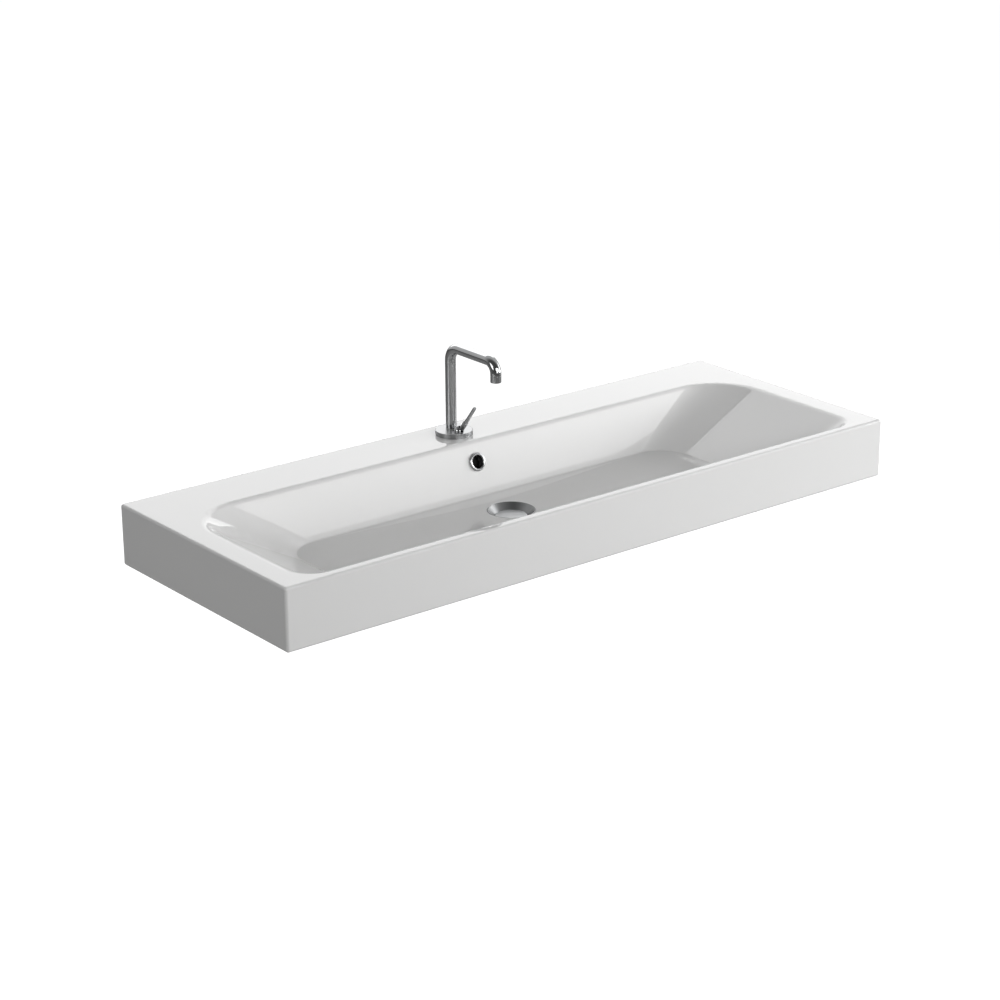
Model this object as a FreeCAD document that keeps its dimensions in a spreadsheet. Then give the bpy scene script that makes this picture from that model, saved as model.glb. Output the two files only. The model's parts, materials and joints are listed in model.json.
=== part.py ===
import FreeCAD, Part
import math
import os
import Sketcher

# A wall-hung washbasin: one glazed casting with a shallow bowl, a single-hole tap with a
# joystick lever and a swivel spout, an overflow ring and a click-clack waste.
# Millimetres, +Z up, the wall at y = 0 and the user at -Y.
# The origin is the middle of the line of wall holes, on the back face.

os.makedirs("parts", exist_ok=True)

SIZES = {
    # casting
    "basin_width": 1200,
    "basin_depth": 450,
    "basin_height": 100,
    "fixing_drop": 60,
    "arris_radius": 4.5,
    "deck_thickness": 16,
    "apron_thickness": 12,
    "floor_thickness": 14,
    "shell_growth": 6,
    # outline of the bowl at the deck
    "back_rim": 103,
    "side_rim": 43.5,
    "front_rim": 20,
    "rear_round": 95,
    "front_round": 42,
    "lip_radius": 9,
    # floor of the bowl: how far each wall runs in, and the low pan round the waste
    "end_run": 159.5,
    "back_run": 30,
    "front_run": 20,
    "floor_rear_round": 60,
    "floor_front_round": 40,
    "floor_fillet": 8,
    "pan_fall": 5,
    "pan_margin": 8.5,
    "pan_flat": 6,
    # wall holes, in one line
    "fixing_hole_radius": 7,
    "inner_fixing_spacing": 280,
    "outer_fixing_spacing": 880,
    # overflow hole, its duct behind the bowl, and its ring
    "overflow_drop": 33.5,
    "overflow_hole_radius": 13,
    "duct_cover": 7,
    "duct_gap": 8,
    "duct_wall": 5,
    "duct_width": 36,
    "duct_head": 21.5,
    "duct_height": 10,
    "ring_flange_radius": 15.5,
    "ring_bore_radius": 10.6,
    "ring_proud": 4.6,
    "ring_round": 1,
    "ring_spigot": 8,
    "ring_gasket": 0.8,
    # waste, on its axis in front of the bowl's back edge
    "waste_setback": 102,
    "waste_flange_radius": 39.5,
    "rim_land": 1.2,
    "rim_edge": 1.5,
    "dish_depth": 13.5,
    "dish_floor_radius": 27.5,
    "dish_metal": 2,
    "throat_radius": 18.5,
    "tail_radius": 20.955,
    "tail_length": 75,
    "waste_hole_radius": 23,
    "boss_wall": 9,
    "boss_drop": 38,
    "upper_seal": 1.5,
    "lower_seal": 3,
    "slip_washer": 1.5,
    "seal_radius": 30,
    "backnut_height": 8,
    "backnut_radius": 30,
    "window_width": 12,
    "relief_height": 1,
    "relief_depth": 0.4,
    # click-clack plug
    "cap_radius": 26,
    "cap_thickness": 3,
    "cap_bevel": 0.5,
    "plug_seal_inner": 20,
    "plug_seal_outer": 25,
    "plug_boss_radius": 5,
    "plug_boss_length": 2.5,
    "stem_radius": 3,
    "piston_radius": 5.9,
    "piston_height": 4,
    "stem_reach": 20,
    "cup_radius": 8,
    "cup_bore": 6.2,
    "cup_lip": 2,
    "cup_mouth": 3.3,
    "cup_height": 27,
    "cup_floor": 2,
    "hub_radius": 9,
    "hub_height": 8,
    "hub_bore": 5,
    "spoke_width": 5,
    "spring_radius": 4.6,
    "spring_wire": 0.45,
    "spring_pitch": 2.0,
    # tap: axis of its hole behind the bowl's back edge, and what stands off that axis
    "tap_setback": 43.5,
    "tap_hole_radius": 17.5,
    "disc_offset": 5,
    "disc_radius": 31,
    "disc_thickness": 8,
    "disc_bevel": 0.6,
    "gasket_radius": 22,
    "gasket_thickness": 1,
    "shank_length": 34,
    "clamp_margin": 4,
    "clamp_gasket": 2,
    "clamp_washer": 2.5,
    "ring_nut_height": 8,
    "nut_slot_width": 6,
    "nut_slot_depth": 1.5,
    "inlet_radius": 4.5,
    "inlet_depth": 12,
    "inlet_offset": 5.6,
    "inlet_forward": 4.2,
    "port_radius": 1.1,
    "port_offset": 2.6,
    "port_back": 2.4,
    "channel_radius": 3,
    "channel_drop": 5,
    # spout
    "spout_offset": 12.5,
    "spout_radius": 9,
    "spout_bore": 6.5,
    "spout_rise": 148.5,
    "spout_reach": 120,
    "rear_bend": 24,
    "front_bend": 20,
    "mouth_drop": 22,
    "spout_washer": 0.6,
    "neck_radius": 6,
    "neck_bore": 4,
    "neck_shoulder": 7,
    "neck_insert": 14,
    "socket_floor": 1.8,
    "seal_groove_low": 2.4,
    "seal_groove_high": 3.8,
    "seal_groove_radius": 4.8,
    "lock_groove_rise": 5.8,
    "lock_groove_radius": 5,
    "lock_groove_gap": 0.2,
    "grub_radius": 1.4,
    "grub_length": 8,
    "grub_socket": 0.8,
    "grub_socket_depth": 1.5,
    # aerator at the spout's mouth
    "aerator_length": 11,
    "aerator_bore": 5.6,
    "aerator_lip": 1,
    "aerator_lip_bore": 5,
    "aerator_spigot": 4.5,
    "aerator_seal": 0.5,
    "aerator_bevel": 0.6,
    "insert_length": 12,
    "insert_hole": 0.55,
    "insert_inner_ring": 1.7,
    "insert_outer_ring": 3.9,
    # joystick: turret and its snap ring, pin, lever and sleeve
    "joystick_offset": 8,
    "turret_radius": 8.5,
    "turret_ledge": 1,
    "snap_ring_rise": 6,
    "snap_ring_height": 0.7,
    "snap_ring_bite": 0.4,
    "snap_groove_gap": 0.1,
    "slot_half": 2.7,
    "slot_back": 4,
    "slot_shoulder": 6,
    "slot_top_back": 0.6,
    "pivot_rise": 3.5,
    "pin_radius": 1,
    "pin_half_length": 7.6,
    "lever_lean": 38.8,
    "lever_lift": 25,
    "lever_neck_radius": 2.4,
    "lever_tail": 4.6,
    "lever_tail_radius": 1.2,
    "lever_waist": 1.2,
    "stem_end": 6,
    "lever_rod_radius": 3,
    "lever_length": 70,
    "lever_tip_bevel": 0.5,
    "sleeve_radius": 4.2,
    "sleeve_start": 13.2,
    "sleeve_end": 31,
    "sleeve_bevel": 0.4,
    # mixing cartridge under the turret
    "cartridge_radius": 6.5,
    "cartridge_bore": 5.5,
    "cartridge_depth": 14,
    "cartridge_floor": 1.5,
    "cartridge_gasket": 0.8,
    "ceramic_disc": 2.5,
    "carrier_radius": 4.5,
    "carrier_gap": 0.15,
    "outlet_radius": 2.2,
    # clearances and aids
    "running_gap": 0.05,
    "seat_gap": 0.3,
    "overrun": 1,
    "closeness": 0.01,
}

doc = FreeCAD.newDocument("Washbasin")
sheet = doc.addObject("Spreadsheet::Sheet", "Sizes")
for row, (alias, amount) in enumerate(SIZES.items(), 1):
    sheet.set(f"A{row}", alias)
    sheet.set(f"B{row}", str(amount))
    sheet.setAlias(f"B{row}", alias)
doc.recompute()


class Size:
    """A length as the expression that binds it to the sheet, and its value now."""

    def __init__(self, text, value):
        self.text = text
        self.value = value

    def __add__(self, other):
        return Size(f"({self.text} + {other.text})", self.value + other.value)

    def __sub__(self, other):
        return Size(f"({self.text} - {other.text})", self.value - other.value)

    def __mul__(self, factor):
        return Size(f"({self.text} * {factor})", self.value * factor)

    def __truediv__(self, divisor):
        return Size(f"({self.text} / {divisor})", self.value / divisor)

    def __neg__(self):
        return Size(f"(0 - {self.text})", -self.value)


class Sheet:
    """Gives each size of the sheet by its name."""

    def __getattr__(self, alias):
        return Size(f"Sizes.{alias}", SIZES[alias])


s = Sheet()
ZERO = Size("0", 0)


def share(part, whole, amount):
    """amount times part over whole, for a place on a sloping wall."""
    text = f"({amount.text} * {part.text} / {whole.text})"
    return Size(text, amount.value * part.value / whole.value)


def swung(amount, angle, degrees):
    """How far along Y a point at amount below a pivot stands when its arm leans by an angle."""
    text = f"({amount.text} * sin({angle}))"
    return Size(text, amount.value * math.sin(math.radians(degrees)))


# Placing and simple solids

ALONG_X = FreeCAD.Rotation(FreeCAD.Vector(0, 1, 0), 90)
TOWARDS_USER = FreeCAD.Rotation(FreeCAD.Vector(1, 0, 0), 90)
SIDE_VIEW = FreeCAD.Rotation(
    FreeCAD.Vector(0, 1, 0), FreeCAD.Vector(0, 0, 1), FreeCAD.Vector(1, 0, 0), "XYZ"
)


def place(thing, x=ZERO, y=ZERO, z=ZERO, turn=None):
    if turn is not None:
        thing.Placement = FreeCAD.Placement(FreeCAD.Vector(), turn)
    for axis, size in (("x", x), ("y", y), ("z", z)):
        if size is not ZERO:
            thing.setExpression(f"Placement.Base.{axis}", size.text)
    return thing


def lean(thing, angle):
    """Leans a placed solid about the X axis, its top towards the user."""
    thing.Placement.Rotation = TOWARDS_USER
    thing.setExpression("Placement.Rotation.Angle", angle)
    return thing


def cylinder(name, radius, height, x=ZERO, y=ZERO, z=ZERO, turn=None):
    solid = doc.addObject("Part::Cylinder", name)
    solid.setExpression("Radius", radius.text)
    solid.setExpression("Height", height.text)
    return place(solid, x, y, z, turn)


def box(name, length, width, height, x=ZERO, y=ZERO, z=ZERO):
    solid = doc.addObject("Part::Box", name)
    solid.setExpression("Length", length.text)
    solid.setExpression("Width", width.text)
    solid.setExpression("Height", height.text)
    return place(solid, x, y, z)


def ring(name, outer, inner, height, x=ZERO, y=ZERO, z=ZERO):
    """A flat ring; its bore runs past both faces."""
    body = cylinder(name + "_blank", outer, height, x, y, z)
    bore_height = height + s.overrun * 2
    bore = cylinder(name + "_bore", inner, bore_height, x, y, z - s.overrun)
    return cut(name, body, [bore])


def fuse(name, solids):
    joined = doc.addObject("Part::MultiFuse", name)
    joined.Shapes = solids
    return joined


def cut(name, base, tools):
    result = doc.addObject("Part::Cut", name)
    result.Base = base
    result.Tool = tools[0] if len(tools) == 1 else fuse(name + "_tools", tools)
    return result


# Outlines: lines through named corners, with tangent arcs where a corner is rounded


def heading(start, end):
    across = end[0].value - start[0].value
    up = end[1].value - start[1].value
    if abs(across) > abs(up):
        return (int(math.copysign(1, across)), 0)
    return (0, int(math.copysign(1, up)))


def moved(point, way, distance):
    across, up = point
    if way[0]:
        across = across + distance * way[0]
    if way[1]:
        up = up + distance * way[1]
    return (across, up)


def vector(point):
    return FreeCAD.Vector(point[0].value, point[1].value, 0)


def tie(sketch, geometry, end, point):
    """Ties one end of a line to its named place."""
    for axis, kind, size in ((-2, "DistanceX", point[0]), (-1, "DistanceY", point[1])):
        if size is ZERO:
            sketch.addConstraint(Sketcher.Constraint("PointOnObject", geometry, end, axis))
        else:
            index = sketch.addConstraint(
                Sketcher.Constraint(kind, geometry, end, size.value)
            )
            sketch.setExpression(f"Constraints[{index}]", size.text)


def outline(sketch, corners, closed=True):
    """Corners are (across, up) or (across, up, round); rounded ones meet level and upright lines."""
    count = len(corners)
    entries, exits, rounds = [], [], []
    for index, corner in enumerate(corners):
        point = corner[:2]
        radius = corner[2] if len(corner) > 2 else None
        rounds.append(radius)
        if radius is None:
            entries.append(point)
            exits.append(point)
            continue
        way_in = heading(corners[index - 1], point)
        way_out = heading(point, corners[(index + 1) % count])
        entries.append(moved(point, way_in, radius * -1))
        exits.append(moved(point, way_out, radius))
    lines = []
    for index in range(count if closed else count - 1):
        segment = Part.LineSegment(vector(exits[index]), vector(entries[(index + 1) % count]))
        lines.append(sketch.addGeometry(segment))
    for index, line in enumerate(lines):
        after = (index + 1) % count
        tie(sketch, line, 1, exits[index])
        last = not closed and index == len(lines) - 1
        if rounds[after] is not None or last:
            tie(sketch, line, 2, entries[after])
        else:
            link = Sketcher.Constraint("Coincident", line, 2, lines[after], 1)
            sketch.addConstraint(link)
    for index, radius in enumerate(rounds):
        if radius is not None:
            round_corner(sketch, lines, index, corners[index], entries, exits, radius)


def round_corner(sketch, lines, index, corner, entries, exits, radius):
    start, end = vector(entries[index]), vector(exits[index])
    centre = start + end - vector(corner)
    left_turn = (start - centre).cross(end - centre).z > 0
    first, second = (start, end) if left_turn else (end, start)
    angles = [math.atan2(p.y - centre.y, p.x - centre.x) for p in (first, second)]
    if angles[1] < angles[0]:
        angles[1] += 2 * math.pi
    circle = Part.Circle(centre, FreeCAD.Vector(0, 0, 1), radius.value)
    arc = sketch.addGeometry(Part.ArcOfCircle(circle, *angles))
    before, after = lines[index - 1], lines[index]
    arrive, leave = (1, 2) if left_turn else (2, 1)
    sketch.addConstraint(Sketcher.Constraint("Coincident", arc, arrive, before, 2))
    sketch.addConstraint(Sketcher.Constraint("Coincident", arc, leave, after, 1))
    bend = sketch.addConstraint(Sketcher.Constraint("Radius", arc, radius.value))
    sketch.setExpression(f"Constraints[{bend}]", radius.text)


def turned(name, profile, x=ZERO, y=ZERO, z=ZERO):
    """A body turned about its own Z axis from a closed profile of (radius, height)."""
    body = doc.addObject("PartDesign::Body", name)
    sketch = body.newObject("Sketcher::SketchObject", name + "_profile")
    planes = [item for item in body.Origin.OriginFeatures if item.Role == "XZ_Plane"]
    sketch.AttachmentSupport = [(planes[0], "")]
    sketch.MapMode = "FlatFace"
    outline(sketch, profile)
    turn = body.newObject("PartDesign::Revolution", name + "_turn")
    turn.Profile = sketch
    turn.ReferenceAxis = (sketch, ["V_Axis"])
    turn.Angle = 360
    body.Tip = turn
    return place(body, x, y, z)


def free_outline(name, corners, z=ZERO, turn=None, closed=True):
    sketch = doc.addObject("Sketcher::SketchObject", name)
    outline(sketch, corners, closed)
    return place(sketch, z=z, turn=turn)


def slab(name, corners, half_width):
    """A closed outline in the (y, z) plane, thickened by half_width to both sides."""
    sketch = free_outline(name + "_outline", corners, turn=SIDE_VIEW)
    solid = doc.addObject("Part::Extrusion", name)
    solid.Base = sketch
    solid.DirMode = "Custom"
    solid.Dir = FreeCAD.Vector(1, 0, 0)
    solid.Solid = True
    solid.setExpression("LengthFwd", half_width.text)
    solid.setExpression("LengthRev", half_width.text)
    return solid


# Places that several pieces share

deck = s.fixing_drop
underside = deck - s.basin_height
floor_depth = s.basin_height - s.floor_thickness
floor_edge = deck - floor_depth
pan = floor_edge - s.pan_fall
waste_y = -(s.back_rim + s.waste_setback)
boss_foot = pan - s.boss_drop
tap_y = -(s.back_rim - s.tap_setback)
disc_y = tap_y + s.disc_offset
spout_y = tap_y + s.spout_offset
joystick_y = tap_y - s.joystick_offset
disc_top = deck + s.disc_thickness
shank_radius = s.tap_hole_radius - s.seat_gap
deck_foot = deck - s.deck_thickness
half_width = s.basin_width / 2


def wall_y(depth):
    """Where the bowl's back wall stands at a depth below the deck."""
    return -(s.back_rim + share(s.back_run, floor_depth, depth))


# The casting


def bowl_outline(name, grow, depth, end_in, back_in, front, rear_round, front_round):
    """A rounded oblong across the basin; grow moves its ends and its back outwards."""
    side = half_width - s.side_rim - end_in + grow
    back = -(s.back_rim + back_in - grow)
    corners = [
        (-side, front, front_round),
        (side, front, front_round),
        (side, back, rear_round),
        (-side, back, rear_round),
    ]
    return free_outline(name, corners, z=deck - depth)


def loft(name, sections):
    solid = doc.addObject("Part::Loft", name)
    solid.Sections = sections
    solid.Solid = True
    solid.Ruled = True
    return solid


def rounded(name, base, radius, wanted):
    """Rounds the edges of a finished shape that the test picks out."""
    doc.recompute()
    soft = doc.addObject("Part::Fillet", name)
    soft.Base = base
    picked = [i for i, edge in enumerate(base.Shape.Edges, 1) if wanted(edge)]
    if not picked:
        raise RuntimeError(f"{name} found no edge to round")
    soft.Edges = [(i, radius.value, radius.value) for i in picked]
    return soft


def level_at(edge, height):
    return all(abs(vertex.Z - height.value) < s.closeness.value for vertex in edge.Vertexes)


def at_floor(edge):
    return level_at(edge, floor_edge)


def every_edge(edge):
    return True


def rim_edge(edge):
    bounds = edge.BoundBox
    outer = half_width.value - s.arris_radius.value - s.closeness.value
    inside = max(abs(bounds.XMin), abs(bounds.XMax)) < outer
    ahead = bounds.YMax < wall_y(ZERO).value + s.rear_round.value + s.closeness.value
    front = s.basin_depth.value - s.arris_radius.value - s.closeness.value
    behind_front = bounds.YMin > -front
    at_back = bounds.YMax < -s.back_rim.value + s.closeness.value
    return level_at(edge, deck) and inside and ahead and behind_front and at_back


def waste_recess():
    """The seat for the dished flange and its seal, with the hole below."""
    seat = s.dish_depth + s.dish_metal + s.upper_seal
    lip = s.waste_flange_radius + s.seat_gap
    foot = s.dish_floor_radius + s.rim_land + s.seat_gap
    hole = s.waste_hole_radius
    profile = [
        (ZERO, s.overrun),
        (lip, s.overrun),
        (lip, -(s.rim_edge + s.seat_gap)),
        (foot, -(s.dish_depth + s.dish_metal + s.seat_gap)),
        (foot, -seat),
        (hole, -seat),
        (hole, -(s.boss_drop + s.overrun)),
        (ZERO, -(s.boss_drop + s.overrun)),
    ]
    return turned("waste_recess", profile, y=waste_y, z=pan)


def overflow_duct():
    """The strip-shaped way from the overflow hole down behind the bowl to the waste hole."""
    cover, far = s.duct_cover, s.duct_cover + s.duct_gap
    sole = s.basin_height - s.floor_thickness + s.pan_fall + s.boss_drop - s.duct_wall
    top = sole - s.duct_height
    corners = [
        (wall_y(s.duct_head) + cover, deck - s.duct_head),
        (wall_y(s.duct_head) + far, deck - s.duct_head),
        (wall_y(sole) + far, deck - sole),
        (waste_y, deck - sole),
        (waste_y, deck - top),
        (wall_y(top) + cover, deck - top),
    ]
    return slab("overflow_duct", corners, s.duct_width / 2)


def duct_casing():
    """The ceramic round the duct; the bowl is cut out of it afterwards."""
    far = s.duct_cover + s.duct_gap + s.duct_wall
    head = s.duct_head - s.duct_wall
    foot = s.basin_height - s.floor_thickness + s.pan_fall + s.boss_drop
    low = floor_depth + s.pan_fall
    corners = [
        (wall_y(head), deck - head),
        (wall_y(head) + far, deck - head),
        (wall_y(foot) + far, deck - foot),
        (waste_y, deck - foot),
        (waste_y, deck - low),
        (wall_y(low), deck - low),
    ]
    return slab("duct_casing", corners, s.duct_width / 2 + s.duct_wall)


def casting():
    block = box(
        "block",
        s.basin_width,
        s.basin_depth,
        s.basin_height,
        -half_width,
        -s.basin_depth,
        underside,
    )
    block = rounded("eased_block", block, s.arris_radius, every_edge)
    hollow = box(
        "service_space",
        s.basin_width - s.apron_thickness * 2,
        s.basin_depth - s.apron_thickness * 2,
        s.basin_height - s.deck_thickness + s.overrun,
        s.apron_thickness - half_width,
        s.apron_thickness - s.basin_depth,
        underside - s.overrun,
    )
    frame = cut("open_frame", block, [hollow])
    rim_front = s.front_rim - s.basin_depth
    floor_front = rim_front + s.front_run
    rim = bowl_outline(
        "rim", ZERO, ZERO, ZERO, ZERO, rim_front, s.rear_round, s.front_round
    )
    floor = bowl_outline(
        "floor",
        ZERO,
        floor_depth,
        s.end_run,
        s.back_run,
        floor_front,
        s.floor_rear_round,
        s.floor_front_round,
    )
    shell_rim = bowl_outline(
        "shell_rim",
        s.shell_growth,
        s.deck_thickness / 2,
        ZERO,
        ZERO,
        s.apron_thickness / 2 - s.basin_depth,
        s.rear_round + s.shell_growth,
        s.front_round + s.shell_growth,
    )
    shell_floor = bowl_outline(
        "shell_floor",
        s.shell_growth,
        s.basin_height,
        s.end_run,
        s.back_run,
        floor_front - s.shell_growth,
        s.floor_rear_round + s.shell_growth,
        s.floor_front_round + s.shell_growth,
    )
    pan_rim = bowl_outline(
        "pan_rim",
        -s.floor_fillet,
        floor_depth,
        s.end_run,
        s.back_run,
        floor_front + s.floor_fillet,
        s.floor_rear_round - s.floor_fillet,
        s.floor_front_round - s.floor_fillet,
    )
    pan_half = s.waste_flange_radius + s.pan_margin
    pan_round = pan_half - s.pan_flat
    pan_corners = [
        (-pan_half, waste_y - pan_half, pan_round),
        (pan_half, waste_y - pan_half, pan_round),
        (pan_half, waste_y + pan_half, pan_round),
        (-pan_half, waste_y + pan_half, pan_round),
    ]
    pan_bottom = free_outline("pan_bottom", pan_corners, z=pan)
    shell = loft("bowl_shell", [shell_rim, shell_floor])
    boss_radius = s.waste_flange_radius + s.boss_wall
    boss = cylinder(
        "waste_boss", boss_radius, s.boss_drop - s.pan_fall, y=waste_y, z=boss_foot
    )
    solid = fuse("raw_casting", [frame, shell, boss, duct_casing()])
    hollow_bowl = loft("bowl_hollow", [rim, floor])
    tools = [
        rounded("soft_hollow", hollow_bowl, s.floor_fillet, at_floor),
        loft("bowl_pan", [pan_rim, pan_bottom]),
        waste_recess(),
        overflow_duct(),
        cylinder(
            "tap_hole",
            s.tap_hole_radius,
            s.deck_thickness + s.overrun * 2,
            y=tap_y,
            z=deck_foot - s.overrun,
        ),
    ]
    reach = s.duct_cover + s.duct_gap / 2
    hole = cylinder(
        "overflow_hole",
        s.overflow_hole_radius,
        reach * 2,
        y=wall_y(s.overflow_drop) + reach,
        z=deck - s.overflow_drop - share(s.back_run, floor_depth, reach),
    )
    tools.append(lean(hole, WALL_LEAN))
    for spacing in (s.inner_fixing_spacing, s.outer_fixing_spacing):
        for side in (-1, 1):
            tools.append(
                cylinder(
                    "fixing_hole",
                    s.fixing_hole_radius,
                    s.apron_thickness + s.overrun * 2,
                    x=spacing * (side / 2),
                    y=s.overrun,
                    turn=TOWARDS_USER,
                )
            )
    pierced = cut("pierced_casting", solid, tools)
    return rounded("basin_body", pierced, s.lip_radius, rim_edge)


WALL_LEAN = f"atan({floor_depth.text} / Sizes.back_run)"


def overflow_pieces():
    y, z = wall_y(s.overflow_drop), deck - s.overflow_drop
    spigot = s.overflow_hole_radius - s.seat_gap
    profile = [
        (s.ring_bore_radius, -s.ring_spigot),
        (spigot, -s.ring_spigot),
        (spigot, s.ring_gasket),
        (s.ring_flange_radius, s.ring_gasket),
        (s.ring_flange_radius, s.ring_proud - s.ring_round),
        (s.ring_flange_radius - s.ring_round, s.ring_proud),
        (s.ring_bore_radius + s.ring_round, s.ring_proud),
        (s.ring_bore_radius, s.ring_proud - s.ring_round),
    ]
    flange = turned("overflow_ring", profile, y=y, z=z)
    lean(flange, WALL_LEAN)
    seal = [
        (s.overflow_hole_radius, ZERO),
        (s.ring_flange_radius - s.ring_round, ZERO),
        (s.ring_flange_radius - s.ring_round, s.ring_gasket),
        (s.overflow_hole_radius, s.ring_gasket),
    ]
    gasket = turned("overflow_gasket", seal, y=y, z=z)
    lean(gasket, WALL_LEAN)
    return [flange, gasket]


# The waste and its click-clack plug

dish_floor = pan - s.dish_depth
cap_foot = dish_floor + s.upper_seal
cup_top = dish_floor - s.upper_seal
cup_foot = cup_top - s.cup_height
spring_foot = cup_foot + s.cup_floor


def waste_flange():
    foot = s.dish_floor_radius + s.rim_land
    under = s.dish_depth + s.dish_metal
    end = s.dish_depth + s.tail_length
    nut_foot = s.boss_drop + s.lower_seal + s.slip_washer + s.backnut_height
    relief = nut_foot + s.relief_height
    relief_end = relief + s.relief_height
    profile = [
        (s.throat_radius, -s.dish_depth),
        (s.throat_radius, -end),
        (s.tail_radius, -end),
        (s.tail_radius, -relief_end),
        (s.tail_radius - s.relief_depth, -relief_end),
        (s.tail_radius - s.relief_depth, -relief),
        (s.tail_radius, -relief),
        (s.tail_radius, -under),
        (foot, -under),
        (s.waste_flange_radius, -s.rim_edge),
        (s.waste_flange_radius, ZERO),
        (s.waste_flange_radius - s.rim_land, ZERO),
        (s.dish_floor_radius, -s.dish_depth),
    ]
    dish = turned("dish_and_tail", profile, y=waste_y, z=pan)
    window_foot = boss_foot + s.duct_wall
    across = s.tail_radius + s.overrun
    windows = [
        box(
            "window_across",
            across * 2,
            s.window_width,
            s.duct_height,
            -across,
            waste_y - s.window_width / 2,
            window_foot,
        ),
        box(
            "window_along",
            s.window_width,
            across * 2,
            s.duct_height,
            -s.window_width / 2,
            waste_y - across,
            window_foot,
        ),
    ]
    tail = cut("slotted_tail", dish, windows)
    hub_foot = cup_foot - s.hub_height
    middle = (s.throat_radius + s.tail_radius) / 2
    spokes = [
        box(
            "spoke_across",
            middle * 2,
            s.spoke_width,
            s.hub_height,
            -middle,
            waste_y - s.spoke_width / 2,
            hub_foot,
        ),
        box(
            "spoke_along",
            s.spoke_width,
            middle * 2,
            s.hub_height,
            -s.spoke_width / 2,
            waste_y - middle,
            hub_foot,
        ),
        cylinder("hub", s.hub_radius, s.hub_height, y=waste_y, z=hub_foot),
    ]
    whole = fuse("tail_with_hub", [tail] + spokes)
    bore_height = s.hub_height + s.overrun * 2
    bore = cylinder("hub_bore", s.hub_bore, bore_height, y=waste_y, z=hub_foot - s.overrun)
    return cut("waste_flange", whole, [bore])


def waste_seals():
    hug = s.tail_radius + s.seat_gap
    seat = dish_floor - s.dish_metal - s.upper_seal
    inner_seat = s.dish_floor_radius + s.rim_land
    upper = ring("waste_upper_seal", inner_seat, hug, s.upper_seal, y=waste_y, z=seat)
    lower_foot = boss_foot - s.lower_seal
    lower = ring(
        "waste_lower_seal", s.seal_radius, hug, s.lower_seal, y=waste_y, z=lower_foot
    )
    washer_foot = lower_foot - s.slip_washer
    washer = ring(
        "waste_washer", s.seal_radius, hug, s.slip_washer, y=waste_y, z=washer_foot
    )
    return [upper, lower, washer]


def hexagon(name, radius, bore, height, y, z):
    blank = doc.addObject("Part::Prism", name + "_blank")
    blank.Polygon = 6
    blank.setExpression("Circumradius", radius.text)
    blank.setExpression("Height", height.text)
    place(blank, y=y, z=z)
    hole = cylinder(name + "_bore", bore, height + s.overrun * 2, y=y, z=z - s.overrun)
    return cut(name, blank, [hole])


def waste_backnut():
    foot = boss_foot - s.lower_seal - s.slip_washer - s.backnut_height
    bore = s.tail_radius + s.running_gap
    return hexagon("waste_backnut", s.backnut_radius, bore, s.backnut_height, waste_y, foot)


def plug_pieces():
    socket = s.stem_radius + s.running_gap
    boss_foot_height = -s.plug_boss_length
    cap = [
        (ZERO, ZERO),
        (socket, ZERO),
        (socket, boss_foot_height),
        (s.plug_boss_radius, boss_foot_height),
        (s.plug_boss_radius, ZERO),
        (s.cap_radius, ZERO),
        (s.cap_radius, s.cap_thickness - s.cap_bevel),
        (s.cap_radius - s.cap_bevel, s.cap_thickness),
        (ZERO, s.cap_thickness),
    ]
    cap = turned("plug_cap", cap, y=waste_y, z=cap_foot)
    lip_height = s.upper_seal - s.running_gap * 2
    seal = ring(
        "plug_seal",
        s.plug_seal_outer,
        s.plug_seal_inner,
        lip_height,
        y=waste_y,
        z=cap_foot - lip_height,
    )
    piston_foot = -s.stem_reach
    stem = [
        (ZERO, piston_foot),
        (s.piston_radius, piston_foot),
        (s.piston_radius, piston_foot + s.piston_height),
        (s.stem_radius, piston_foot + s.piston_height),
        (s.stem_radius, ZERO),
        (ZERO, ZERO),
    ]
    stem = turned("plug_stem", stem, y=waste_y, z=cap_foot)
    thread = s.hub_bore - s.running_gap
    cup = [
        (ZERO, -s.hub_height),
        (thread, -s.hub_height),
        (thread, ZERO),
        (s.cup_radius, ZERO),
        (s.cup_radius, s.cup_height),
        (s.cup_mouth, s.cup_height),
        (s.cup_mouth, s.cup_height - s.cup_lip),
        (s.cup_bore, s.cup_height - s.cup_lip),
        (s.cup_bore, s.cup_floor),
        (ZERO, s.cup_floor),
    ]
    cup = turned("plug_cartridge", cup, y=waste_y, z=cup_foot)
    return [cap, seal, stem, cup, plug_spring(cap_foot - s.stem_reach)]


def plug_spring(top):
    """An open coil between the cup's floor and the piston, a wire's width inside both."""
    coil = doc.addObject("Part::Helix", "spring_line")
    height = top - spring_foot - s.spring_wire * 2 - s.running_gap * 2
    coil.setExpression("Pitch", s.spring_pitch.text)
    coil.setExpression("Height", height.text)
    coil.setExpression("Radius", s.spring_radius.text)
    start = spring_foot + s.spring_wire + s.running_gap
    place(coil, y=waste_y, z=start)
    wire = doc.addObject("Part::Circle", "spring_section")
    wire.setExpression("Radius", s.spring_wire.text)
    place(wire, x=s.spring_radius, y=waste_y, z=start, turn=TOWARDS_USER)
    spring = doc.addObject("Part::Sweep", "plug_spring")
    spring.Sections = [wire]
    spring.Spine = (coil, ["Edge1"])
    spring.Solid = True
    spring.Frenet = True
    return spring


# The tap


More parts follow.
